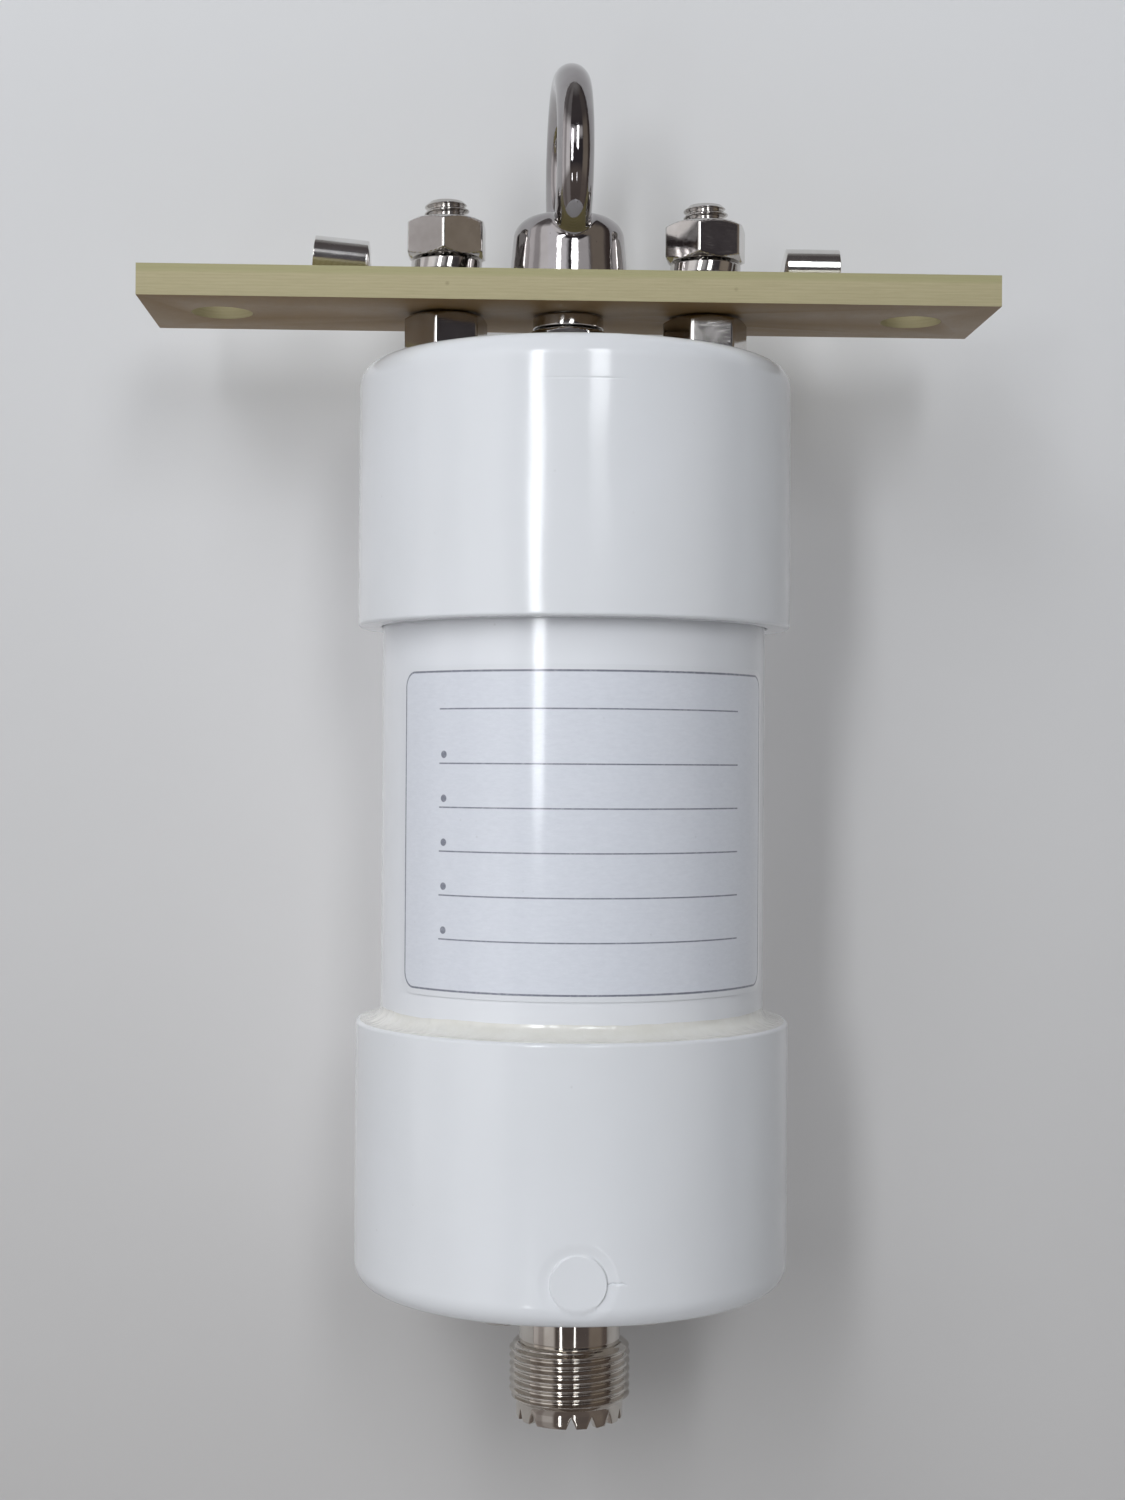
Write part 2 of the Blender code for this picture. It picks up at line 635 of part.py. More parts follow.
def flipped(profile):
    """A profile turned upside down, its points put in order again."""
    return [(radius, -height) for radius, height in reversed(profile)]


def flange_places():
    """Centres of the four flange screws."""
    half = 0.5 * FLANGE_HOLES
    return [(TUBE_AXIS_X + sx * half, sy * half) for sx, sy in ((1, -1), (1, 1), (-1, 1), (-1, -1))]


def make_caps():
    """The two end caps, one moulding used twice and drilled for what passes through."""
    place = (TUBE_AXIS_X, 0.0, CAP_TOP_Z)
    top = add_turned("top_cap", cap_profile(0.0), WHITE_PLASTIC, FACETS_LARGE, place, False)
    foot = CAP_CEILING_Z - CAP_END_WALL
    for name, x in {**TERMINALS, "centre": 0.0}.items():
        drill(top, name + "_cap_hole", BOLT_HOLE, (x, 0.0, foot), 3.0 * CAP_END_WALL)
    place = (TUBE_AXIS_X, 0.0, CAP_BOTTOM_Z)
    profile = flipped(cap_profile(SPIGOT_OUTER + 2.0 * FIT))
    bottom = add_turned("bottom_cap", profile, WHITE_PLASTIC, FACETS_LARGE, place)
    foot = CAP_BOTTOM_Z - CAP_END_WALL
    for index, (x, y) in enumerate(flange_places()):
        name = "screw_hole_%d" % (index + 1)
        drill(bottom, name, SCREW_HOLE, (x, y, foot), 3.0 * CAP_END_WALL, FACETS_TINY)
    flatten(top)
    flatten(bottom)


def make_cement_bead():
    """Cement squeezed out between the tube and the bottom cap's rim."""
    inner = 0.5 * TUBE_OUTER + FIT
    spread = 0.5 * CAP_OUTER - CAP_RIM_CHAMFER
    base = BOTTOM_RIM_Z + SEAT
    out, up = CEMENT_CREST
    profile = [(inner, base + CEMENT_HEIGHT), (inner + out * CEMENT_WALL, base + up * CEMENT_HEIGHT),
               (inner + CEMENT_WALL, base + CEMENT_BELLY * CEMENT_HEIGHT), (spread, base + CEMENT_FILM),
               (spread, base), (inner, base)]
    add_turned("cement_bead", profile, CLEAR_CEMENT, FACETS_LARGE, (TUBE_AXIS_X, 0.0, 0.0))


def label_half_height(across):
    """Half the label's height at a distance across from its middle, with round corners."""
    past = max(0.0, abs(across) - (0.5 * LABEL_WIDTH - LABEL_CORNER))
    rise = math.sqrt(max(0.0, LABEL_CORNER ** 2 - past ** 2))
    return 0.5 * LABEL_HEIGHT - LABEL_CORNER + rise


def make_label():
    """A paper label wrapped round the tube, made from upright strips and thickened outwards."""
    radius = 0.5 * TUBE_OUTER + FIT
    middle = TOP_RIM_Z - LABEL_BELOW_RIM - 0.5 * LABEL_HEIGHT
    flat = 0.5 * LABEL_WIDTH - LABEL_CORNER
    across = [flat * (2.0 * index / LABEL_STRIPS - 1.0) for index in range(LABEL_STRIPS + 1)]
    for index in range(1, LABEL_CORNER_STRIPS + 1):
        past = LABEL_CORNER * math.sin(0.5 * math.pi * index / LABEL_CORNER_STRIPS)
        across.append(flat + past)
        across.insert(0, -flat - past)
    shape = bmesh.new()
    columns = []
    for distance in across:
        angle = LABEL_TURN + distance / radius
        reach = label_half_height(distance)
        foot = (radius * math.sin(angle), -radius * math.cos(angle))
        columns.append([shape.verts.new((foot[0], foot[1], middle + end * reach)) for end in (-1.0, 1.0)])
    for left, right in zip(columns[:-1], columns[1:]):
        shape.faces.new((left[0], right[0], right[1], left[1]))
    mesh = bpy.data.meshes.new("label")
    shape.to_mesh(mesh)
    shape.free()
    label = add_part("label", mesh, PAPER, (TUBE_AXIS_X, 0.0, 0.0))
    wall = label.modifiers.new("Paper", "SOLIDIFY")
    wall.thickness = LABEL_THICKNESS
    wall.offset = 1.0
    wall.use_even_offset = True


def notch_mesh(name):
    """A wedge that cuts one V notch across the crown's edge, pointing along +X."""
    below = NOTCH_DEPTH
    reach = 0.5 * NOTCH_WIDTH * (NOTCH_DEPTH + below) / NOTCH_DEPTH
    outline = [(-reach, -below), (reach, -below), (0.0, NOTCH_DEPTH)]
    return prism_mesh(name, [(0.25 * CROWN_BORE, y, z) for y, z in outline], (CROWN_OUTER, 0.0, 0.0))


def make_socket_shell():
    """Flange, rear spigot, neck, threaded sleeve and toothed crown in one turned piece."""
    crown = 0.5 * CROWN_OUTER
    thread = 0.5 * THREAD_OUTER
    neck = 0.5 * NECK_OUTER
    spigot = 0.5 * SPIGOT_OUTER
    bore = 0.5 * CROWN_BORE
    inside = FLANGE_BOTTOM_Z + 0.5 * FLANGE_THICKNESS
    profile = [(0.0, FLANGE_TOP_Z + SPIGOT_RISE), (spigot, FLANGE_TOP_Z + SPIGOT_RISE),
               (spigot, inside), (neck, inside), (neck, THREAD_TOP_Z),
               (thread - THREAD_CHAMFER, THREAD_TOP_Z), (thread, THREAD_TOP_Z - THREAD_CHAMFER),
               (thread, CROWN_TOP_Z + THREAD_CHAMFER), (thread - THREAD_CHAMFER, CROWN_TOP_Z),
               (crown, CROWN_TOP_Z), (crown, MOUTH_Z), (bore, MOUTH_Z), (bore, inside), (0.0, inside)]
    shell = add_turned("socket_shell", profile, NICKEL, FACETS, (TUBE_AXIS_X, 0.0, 0.0), False)
    half = 0.5 * FLANGE_SIDE
    plate = box_mesh("flange_plate", (-half, -half, FLANGE_BOTTOM_Z), (half, half, FLANGE_TOP_Z))
    flange = add_helper("flange_plate", plate, Matrix.Translation((TUBE_AXIS_X, 0.0, 0.0)))
    corners = flange.modifiers.new("Corners", "BEVEL")
    corners.affect = "EDGES"
    corners.limit_method = "WEIGHT"
    corners.width = FLANGE_CORNER
    corners.segments = 3
    weights = plate.attributes.new("bevel_weight_edge", "FLOAT", "EDGE")
    for edge in plate.edges:
        ends = [plate.vertices[index].co for index in edge.vertices]
        weights.data[edge.index].value = 1.0 if abs(ends[0].z - ends[1].z) > 0.5 * FLANGE_THICKNESS else 0.0
    combine(shell, flange, "UNION")
    drill(shell, "rear_bore", REAR_BORE, (TUBE_AXIS_X, 0.0, FLANGE_BOTTOM_Z - NECK_LENGTH),
          NECK_LENGTH + FLANGE_THICKNESS + 2.0 * SPIGOT_RISE, FACETS)
    for index, (x, y) in enumerate(flange_places()):
        drill(shell, "flange_hole_%d" % (index + 1), SCREW_HOLE, (x, y, FLANGE_BOTTOM_Z - FLANGE_THICKNESS),
              3.0 * FLANGE_THICKNESS, FACETS_TINY)
    for place in range(CROWN_PLACES):
        if place == CROWN_BLANK:
            continue
        angle = 2.0 * math.pi * place / CROWN_PLACES - 0.5 * math.pi
        seat = Matrix.Translation((TUBE_AXIS_X, 0.0, MOUTH_Z)) @ Matrix.Rotation(angle, 4, "Z")
        name = "notch_%02d" % place
        combine(shell, add_helper(name, notch_mesh(name), seat), "DIFFERENCE")
    flatten(shell)


def make_socket_inside():
    """The stepped insulator and the slotted contact with its solder cup."""
    front = MOUTH_Z + INSULATOR_RECESS
    step = FLANGE_BOTTOM_Z - SEAT
    rear = FLANGE_TOP_Z + SPIGOT_RISE + INSULATOR_PROUD
    wide = 0.5 * CROWN_BORE - FIT
    narrow = 0.5 * REAR_BORE - FIT
    bore = 0.5 * CONTACT_OUTER + FIT
    profile = [(narrow, rear), (narrow, step), (wide, step), (wide, front), (bore, front), (bore, rear)]
    add_turned("socket_insulator", profile, WHITE_INSULATOR, FACETS, (TUBE_AXIS_X, 0.0, 0.0))
    outer = 0.5 * CONTACT_OUTER
    socket = 0.5 * CONTACT_BORE
    cup = 0.5 * CUP_OUTER
    cup_bore = 0.5 * CUP_BORE
    tip = front + CONTACT_RECESS
    cup_top = FLANGE_TOP_Z + CUP_RISE
    profile = [(cup_bore, cup_top), (cup, cup_top), (cup, rear), (outer, rear), (outer, tip), (socket, tip),
               (socket, tip + CONTACT_DEPTH), (0.0, tip + CONTACT_DEPTH + 0.5 * socket)]
    profile = [(0.0, cup_top - CUP_DEPTH), (cup_bore, cup_top - CUP_DEPTH), *profile]
    contact = add_turned("socket_contact", profile, NICKEL, FACETS_SMALL, (TUBE_AXIS_X, 0.0, 0.0), False)
    for index in range(2):
        reach = (CONTACT_OUTER, 0.5 * CONTACT_SLOT, CONTACT_SLOT_DEPTH)
        slot = box_mesh("slot", [-size for size in reach], reach)
        turn = Matrix.Rotation(0.25 * math.pi + 0.5 * math.pi * index, 4, "Z")
        place = Matrix.Translation((TUBE_AXIS_X, 0.0, tip)) @ turn
        combine(contact, add_helper("slot_%d" % (index + 1), slot, place), "DIFFERENCE")


def make_flange_fixings():
    """Four pan-head screws through flange and cap, their nuts, and the ground tag on one of them."""
    radius = 0.5 * SCREW
    head = 0.5 * SCREW_HEAD
    top = FLANGE_BOTTOM_Z - SEAT
    low = top - SCREW_HEAD_HEIGHT
    floor = CAP_FLOOR_Z + SEAT
    raised = floor + TAG_THICKNESS + SEAT
    tip = raised + SMALL_NUT_HEIGHT + SCREW_PROUD
    out, down = SCREW_HEAD_CROWN
    profile = [(0.0, tip), (radius, tip), (radius, top), (head, top),
               (head, top - SCREW_HEAD_RIM * SCREW_HEAD_HEIGHT),
               (out * head, top - down * SCREW_HEAD_HEIGHT), (SCREW_HEAD_FLAT * head, low), (0.0, low)]
    nut = nut_mesh("m3_nut", SMALL_NUT_FLATS, SMALL_NUT_HEIGHT, SCREW_HOLE, FACETS_TINY)
    for index, (x, y) in enumerate(flange_places()):
        number = index + 1
        add_turned("flange_screw_%d" % number, profile, PLATED_STEEL, FACETS_TINY, (x, y, 0.0), False)
        level = raised if number == GROUND_SCREW else floor
        add_part("flange_nut_%d" % number, nut.copy(), PLATED_STEEL, (x, y, level), number * SMALL_NUT_TURN)
    x, y = flange_places()[GROUND_SCREW - 1]
    tag = tag_mesh("ground_tag", GROUND_TAG_PAD, SCREW_HOLE, GROUND_TAG_REACH, GROUND_TAG_RISE,
                   GROUND_TAG_WIRE_RISE)
    tag.transform(Matrix.Rotation(math.pi, 4, "X"))
    add_part("ground_tag", tag, TINNED_COPPER, (x, y, floor), math.pi)


def tag_mesh(name, pad, hole, reach, drop, wire_drop):
    """A ring tag whose top is at its origin and whose tail runs along +X and then down."""
    thickness = TAG_THICKNESS
    outer = 2.0 * thickness
    centre = (reach - outer, -outer)
    outline = [(0.0, 0.0), *arc(centre, outer, 90.0, 0.0, 3), (reach, -drop), (reach - thickness, -drop),
               *arc(centre, outer - thickness, 0.0, 90.0, 3), (0.0, -thickness)]
    half = 0.5 * TAG_WIDTH
    strip = add_helper(name, prism_mesh(name, [(x, -half, z) for x, z in outline], (0.0, 2.0 * half, 0.0)))
    disc = cone_mesh(name + "_pad", 0.5 * pad, 0.5 * pad, thickness, FACETS_SMALL)
    combine(strip, add_helper(name + "_pad", disc, Matrix.Translation((0.0, 0.0, -thickness))), "UNION")
    drill(strip, name + "_eye", hole, (0.0, 0.0, -3.0 * thickness), 6.0 * thickness)
    along_x = Matrix.Rotation(0.5 * math.pi, 4, "Y")
    drill(strip, name + "_wire_hole", WIRE_HOLE, (reach - 3.0 * thickness, 0.0, -wire_drop), 6.0 * thickness,
          FACETS_TINY, along_x)
    return baked(strip)


def make_inner_tags():
    """The tags under the heads of the terminal bolts, where the windings end."""
    mesh = tag_mesh("terminal_tag", TAG_PAD, BOLT_HOLE, TAG_REACH, TAG_DROP, TAG_WIRE_DROP)
    for side, x in TERMINALS.items():
        turn = math.pi if x > 0.0 else 0.0
        add_part("terminal_tag_" + side, mesh.copy(), TINNED_COPPER, (x, 0.0, TAG_TOP_Z), turn)


def make_core():
    """The ferrite ring, standing on edge across the tube."""
    outer = 0.5 * CORE_OUTER
    inner = 0.5 * CORE_INNER
    half = 0.5 * CORE_HEIGHT
    edge = CORE_EDGE
    profile = [*arc((outer - edge, half - edge), edge, 90.0, 0.0, 1),
               *arc((outer - edge, edge - half), edge, 0.0, -90.0, 1),
               *arc((inner + edge, edge - half), edge, -90.0, -180.0, 1),
               *arc((inner + edge, half - edge), edge, 180.0, 90.0, 1)]
    core = add_turned("ferrite_core", profile, FERRITE, FACETS, (TUBE_AXIS_X, 0.0, CORE_Z))
    core.rotation_euler = (0.5 * math.pi, 0.0, 0.0)


def beside_core(angle, radius, across):
    """A point near the core: angle from its lowest point towards +X, radius, and distance along Y."""
    return Vector((radius * math.sin(angle), across, CORE_Z - radius * math.cos(angle)))


def coil_points(turns, start, end):
    """Points of the turns round the core's section, from one angle round the ring to another."""
    offset = WIRE_GAP + 0.5 * WIRE
    bend = 0.5 * CORE_EDGE + offset
    outer = 0.5 * CORE_OUTER + offset
    inner = 0.5 * CORE_INNER - offset
    half = 0.5 * CORE_HEIGHT + offset
    section = [*arc((outer - bend, half - bend), bend, 0.0, 90.0, 1),
               *arc((inner + bend, half - bend), bend, 90.0, 180.0, 1),
               *arc((inner + bend, bend - half), bend, 180.0, 270.0, 1),
               *arc((outer - bend, bend - half), bend, 270.0, 360.0, 1)]
    points = [beside_core(start, outer, 0.0)]
    for turn in range(turns):
        for index, (radius, across) in enumerate(section):
            share = (turn + (index + 0.5) / len(section)) / turns
            points.append(beside_core(start + share * (end - start), radius, across))
    points.append(beside_core(end, outer, 0.0))
    return points


def smooth_points(controls, following, steps=2):
    """A Catmull-Rom curve through the controls that heads for the following point."""
    line = [2.0 * controls[0] - controls[1], *controls, following]
    points = []
    for before, start, end, after in zip(line, line[1:], line[2:], line[3:]):
        for index in range(steps):
            t = index / steps
            bend = (2.0 * before - 5.0 * start + 4.0 * end - after) * t * t
            twist = (3.0 * start - before - 3.0 * end + after) * t * t * t
            points.append(0.5 * (2.0 * start + (end - before) * t + bend + twist))
    return points


def half_turned(points):
    """The points turned by half a turn about the tube's axis."""
    return [Vector((-point.x, -point.y, point.z)) for point in points]


def lead_points(foot, coil, start):
    """A lead from its soldered foot up beside the core, and in under the first turn."""
    side = beside_core(start, 0.5 * CORE_OUTER + LEAD_STANDOFF, -LEAD_ACROSS)
    rise = side - foot[-1]
    low = foot[-1] + Vector([share * part for share, part in zip(LEAD_LOW, rise)])
    high = foot[-1] + Vector([share * part for share, part in zip(LEAD_HIGH, rise)])
    return smooth_points([*foot, low, high, side, coil[0]], coil[1])


def hook_foot(hole, outward, upward):
    """A wire's end through a tag's hole, bent towards the core on its inner side."""
    tail = Vector((WIRE_TAIL + TAG_THICKNESS, 0.0, 0.0))
    hook = [tail, *[Vector((along * WIRE, 0.0, rise * WIRE)) for along, rise in HOOK_BEND]]
    return [hole + Vector((outward * point.x, 0.0, upward * point.z)) for point in hook]


def add_winding(name, finish, turns, start, end, right_foot, left_foot):
    """One insulated wire: its turns on the core and a lead at each end of them."""
    coil = coil_points(turns, start, end)
    right = lead_points(right_foot, coil, start)
    left = lead_points(half_turned(left_foot), coil, start)
    points = right + coil + half_turned(left)[::-1]
    curve = bpy.data.curves.new(name, "CURVE")
    curve.dimensions = "3D"
    curve.bevel_depth = 0.5 * WIRE
    curve.bevel_resolution = 2
    curve.use_fill_caps = True
    spline = curve.splines.new("POLY")
    spline.points.add(len(points) - 1)
    for station, point in zip(spline.points, points):
        station.co = (*point, 1.0)
    add_part(name, curve, finish, (TUBE_AXIS_X, 0.0, 0.0))


def make_windings():
    """The primary from the socket to its flange, and the secondary between the terminals."""
    cup = FLANGE_TOP_Z + CUP_RISE
    cup_foot = [Vector((0.0, 0.0, cup + share * CUP_DEPTH)) for share in CUP_FOOT]
    x, y = flange_places()[GROUND_SCREW - 1]
    ground_hole = Vector((x - TUBE_AXIS_X - GROUND_TAG_REACH, y, CAP_FLOOR_Z + SEAT + GROUND_TAG_WIRE_RISE))
    add_winding("primary_winding", RED_ENAMEL, PRIMARY_TURNS, PRIMARY_START, -PRIMARY_START, cup_foot,
                hook_foot(ground_hole, -1.0, 1.0))
    hole = Vector((0.5 * TERMINAL_SPACING - TAG_REACH, 0.0, TAG_TOP_Z - TAG_WIRE_DROP))
    foot = hook_foot(hole, 1.0, -1.0)
    add_winding("secondary_winding", GREEN_ENAMEL, SECONDARY_TURNS, SECONDARY_START,
                2.0 * math.pi - SECONDARY_START, foot, half_turned(foot))


make_eye_nut()
make_cross_bar()
make_centre_fixing()
make_terminals()
make_tube()
make_caps()
make_cement_bead()
make_label()
make_socket_shell()
make_socket_inside()
make_flange_fixings()
make_inner_tags()
make_core()
make_windings()
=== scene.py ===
"""Looks of the hanging antenna balun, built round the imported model.

Lengths in this file are millimetres, turned into metres when a mesh is made. Angles round the
upright axis are measured from the front (minus Y) towards plus X. The origin is the centre of the
hanging ring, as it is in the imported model.
"""

import math

import bmesh
import bpy
import numpy as np
from mathutils import Matrix, Vector


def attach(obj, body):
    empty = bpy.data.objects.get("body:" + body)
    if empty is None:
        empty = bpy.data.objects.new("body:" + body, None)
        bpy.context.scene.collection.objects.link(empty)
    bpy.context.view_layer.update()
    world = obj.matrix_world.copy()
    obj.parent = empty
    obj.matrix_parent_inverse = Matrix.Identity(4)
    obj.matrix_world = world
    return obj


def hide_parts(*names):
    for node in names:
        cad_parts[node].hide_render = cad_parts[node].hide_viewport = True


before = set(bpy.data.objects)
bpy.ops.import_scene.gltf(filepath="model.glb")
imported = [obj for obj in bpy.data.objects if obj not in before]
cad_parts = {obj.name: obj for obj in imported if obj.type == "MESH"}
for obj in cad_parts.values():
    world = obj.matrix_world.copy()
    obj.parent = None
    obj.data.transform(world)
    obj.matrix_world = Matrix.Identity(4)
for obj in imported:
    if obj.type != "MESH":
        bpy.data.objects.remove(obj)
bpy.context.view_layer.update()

MM = 0.001
TURN = 2.0 * math.pi

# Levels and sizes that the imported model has
TUBE_X = 1.0
TERMINALS = {"left": -16.05, "right": 18.05}
BAR_TOP = -16.0
BAR_BOTTOM = -20.0
CAP_TOP = -26.8
TOP_RIM = -61.1
BOTTOM_RIM = -112.1
CAP_BOTTOM = -146.4
CAP_RADIUS = 28.25
CAP_BORE = 25.2
CAP_END = 3.2
TUBE_RADIUS = 25.0
FLANGE_BOTTOM = -148.2
MOUTH = -164.2
LUG_BASE = -15.8
NUT_FLATS = 9.8
BOLT_HOLE = 3.15

# Stage
FLOOR = -610.0
BOARD = 28.6
BACKGROUND = (0.60, 0.60, 0.60)
SKY_WAY = (-0.40, -0.87, 0.28)

# Points nearer than this, in metres, are one
MERGE = 2.0e-7


# grids and meshes

def quads(rows, cols, loop):
    """Faces of a grid whose columns close on themselves, and whose rows do too when loop is set."""
    row, col = np.meshgrid(np.arange(rows if loop else rows - 1), np.arange(cols), indexing="ij")
    row, col = row.ravel(), col.ravel()
    down, right = (row + 1) % rows, (col + 1) % cols
    return np.stack([row * cols + col, row * cols + right, down * cols + right, down * cols + col], axis=1)


def add_object(name, data):
    """A new object in the scene, at the origin."""
    item = bpy.data.objects.new(name, data)
    bpy.context.scene.collection.objects.link(item)
    return item


def grid_mesh(name, grids, flat_places=None):
    """One mesh from grids of points, each rows by columns by three. Rows that shrink to a point are merged
    into a pole, and faces are turned outwards."""
    points = np.concatenate([grid.reshape(-1, 3) for grid, loop in grids]) * MM
    faces, start = [], 0
    for grid, loop in grids:
        faces.append(quads(*grid.shape[:2], loop) + start)
        start += grid.shape[0] * grid.shape[1]
    faces = np.concatenate(faces)
    mesh = bpy.data.meshes.new(name)
    mesh.from_pydata(points.tolist(), [], faces.tolist())
    if flat_places is not None:
        layer = mesh.uv_layers.new(name="UVMap")
        layer.data.foreach_set("uv", flat_places.reshape(-1, 2)[faces.ravel()].ravel())
    shape = bmesh.new()
    shape.from_mesh(mesh)
    bmesh.ops.remove_doubles(shape, verts=shape.verts, dist=MERGE)
    bmesh.ops.recalc_face_normals(shape, faces=shape.faces)
    shape.to_mesh(mesh)
    shape.free()
    return mesh


def make_piece(name, grids, finish, slot, nodes, sharp=35.0, flat_places=None):
    """A closed piece from one or more grids. Edges sharper than an angle stay sharp."""
    mesh = grid_mesh(name, grids, flat_places)
    mesh.shade_smooth()
    mesh.set_sharp_from_angle(angle=math.radians(sharp))
    mesh.materials.append(finish)
    piece = add_object(name, mesh)
    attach(piece, "root")
    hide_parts(*nodes)
    return piece


def rounded(corners, steps=5):
    """A profile through (radius, height, fillet) corners. Each fillet is an exact arc tangent to both sides,
    written as a rational curve of second degree, with one more point beyond each of its ends."""
    corners = np.array(corners, dtype=float)
    spots, fillet = corners[:, :2], corners[:, 2]
    back = np.roll(spots, 1, axis=0) - spots
    ahead = np.roll(spots, -1, axis=0) - spots
    back_length = np.linalg.norm(back, axis=1) + 1e-12
    ahead_length = np.linalg.norm(ahead, axis=1) + 1e-12
    back = back / back_length[:, None]
    ahead = ahead / ahead_length[:, None]
    half = 0.5 * np.arccos(np.clip((back * ahead).sum(axis=1), -0.999999, 0.999999))
    reach = np.minimum(fillet / np.tan(half), 0.45 * np.minimum(back_length, ahead_length))
    share = np.linspace(0.0, 1.0, steps + 1)[None, :, None]
    weight = np.sin(half)[:, None, None]
    first = (spots + back * reach[:, None])[:, None, :]
    last = (spots + ahead * reach[:, None])[:, None, :]
    middle = spots[:, None, :]
    near, far = (1 - share) ** 2, share ** 2
    pull = 2 * weight * share * (1 - share)
    curve = (near * first + pull * middle + far * last) / (near + pull + far)
    outer = spots[:, None, :] + back[:, None, :] * reach[:, None, None] * 1.08
    inner = spots[:, None, :] + ahead[:, None, :] * reach[:, None, None] * 1.08
    line = np.concatenate([outer, curve, inner], axis=1).reshape(-1, 2)
    apart = np.linalg.norm(np.diff(line, axis=0), axis=1) > 1e-6
    return line[np.concatenate([[True], apart])]


def round_axis(radius, height, angle, x=TUBE_X, y=0.0):
    """Points at a radius and height, turned by an angle round an upright axis, 0 at the front."""
    radius, height, angle = np.broadcast_arrays(radius, height, angle)
    return np.stack([x + radius * np.sin(angle), y - radius * np.cos(angle), height], axis=-1)


def full_turn(steps):
    """Evenly spaced angles, once round."""
    return np.linspace(0.0, TURN, steps, endpoint=False)


def turned(corners, around, x=TUBE_X):
    """A profile carried once round an upright axis."""
    line = rounded(corners)
    return round_axis(line[:, :1], line[:, 1:], full_turn(around)[None, :], x)


def lathe(rows, angle, x=TUBE_X, y=0.0):
    """Rows of radius and height, each a number or an array by angle, turned round an upright axis."""
    spread = [np.broadcast_arrays(radius + 0.0 * angle, level + 0.0 * angle) for radius, level in rows]
    radius, level = (np.concatenate(parts) for parts in zip(*spread))
    return round_axis(radius, level, angle, x, y)


def soft_least(one, other, sharpness):
    """The smaller of two values, eased where they cross, as minus the logarithm of summed exponentials."""
    least = np.minimum(one, other)
    total = np.exp(-sharpness * (one - least)) + np.exp(-sharpness * (other - least))
    return least - np.log(total) / sharpness


def ease(share):
    """The smooth step 3s squared minus 2s cubed, held between 0 and 1."""
    share = np.clip(share, 0.0, 1.0)
    return share * share * (3.0 - 2.0 * share)


def rolling(angle, seed, lowest, highest, terms):
    """A smooth closed wave: sines of whole numbers of cycles with seeded phases and weights."""
    picks = np.random.default_rng(seed)
    cycles = picks.integers(lowest, highest, terms)
    phase = picks.uniform(0.0, TURN, terms)
    weight = picks.uniform(0.4, 1.0, terms)
    return (weight * np.sin(cycles * angle[..., None] + phase)).sum(axis=-1) / weight.sum()


# shared node groups

def calc(tree, operation, *values):
    """One Math node, fed by sockets or by plain numbers."""
    node = tree.nodes.new("ShaderNodeMath")
    node.operation = operation
    for socket, value in zip(node.inputs, values):
        feed(tree, value, socket)
    return node.outputs[0]


def feed(tree, value, socket):
    """Links a socket or writes a number, a vector or a colour of three parts."""
    if isinstance(value, bpy.types.NodeSocket):
        tree.links.new(value, socket)
    elif socket.type == "RGBA":
        socket.default_value = (*value, 1.0)
    else:
        socket.default_value = value


def noise(tree, vector, scale, detail=2.0, roughness=0.5, distortion=0.0):
    """A noise value from a vector."""
    node = tree.nodes.new("ShaderNodeTexNoise")
    feed(tree, vector, node.inputs["Vector"])
    feed(tree, scale, node.inputs["Scale"])
    node.inputs["Detail"].default_value = detail
    node.inputs["Roughness"].default_value = roughness
    node.inputs["Distortion"].default_value = distortion
    return node.outputs["Fac"]


def between(tree, value, from_low, from_high, to_low, to_high):
    """A Map Range node, held inside its range."""
    node = tree.nodes.new("ShaderNodeMapRange")
    node.clamp = True
    for socket, number in zip(node.inputs, (value, from_low, from_high, to_low, to_high)):
        feed(tree, number, socket)
    return node.outputs[0]


def mixed(tree, share, first, second):
    """Two colours mixed by a share."""
    node = tree.nodes.new("ShaderNodeMix")
    node.data_type = "RGBA"
    feed(tree, share, node.inputs[0])
    feed(tree, first, node.inputs[6])
    feed(tree, second, node.inputs[7])
    return node.outputs[2]


def shaded(tree, value, low, high, first, second):
    """Two colours mixed by where a value lies between two limits."""
    return mixed(tree, between(tree, value, low, high, 0.0, 1.0), first, second)


def blended(tree, share, first, second):
    """Two shaders mixed by a share."""
    node = tree.nodes.new("ShaderNodeMixShader")
    for socket, value in zip(node.inputs, (share, first, second)):
        feed(tree, value, socket)
    return node.outputs[0]


def length_of(tree, first, second):
    """The square root of two values' summed squares."""
    squares = [calc(tree, "MULTIPLY", value, value) for value in (first, second)]
    return calc(tree, "SQRT", calc(tree, "ADD", *squares))


def stretched(tree, vector, sizes):
    """A vector multiplied side by side by another."""
    node = tree.nodes.new("ShaderNodeVectorMath")
    node.operation = "MULTIPLY"
    feed(tree, vector, node.inputs[0])
    feed(tree, sizes, node.inputs[1])
    return node.outputs[0]


def parted(tree, vector):
    """The three parts of a vector."""
    node = tree.nodes.new("ShaderNodeSeparateXYZ")
    feed(tree, vector, node.inputs[0])
    return node.outputs


def new_group(name, inputs, outputs):
    """An empty shader node group with named sockets."""
    group = bpy.data.node_groups.new(name, "ShaderNodeTree")
    for label, kind, value in inputs:
        socket = group.interface.new_socket(label, in_out="INPUT", socket_type=kind)
        if value is not None:
            socket.default_value = value
    for label, kind in outputs:
        group.interface.new_socket(label, in_out="OUTPUT", socket_type=kind)
    return group, group.nodes.new("NodeGroupInput").outputs, group.nodes.new("NodeGroupOutput").inputs


NUMBER, PLACE = "NodeSocketFloat", "NodeSocketVector"


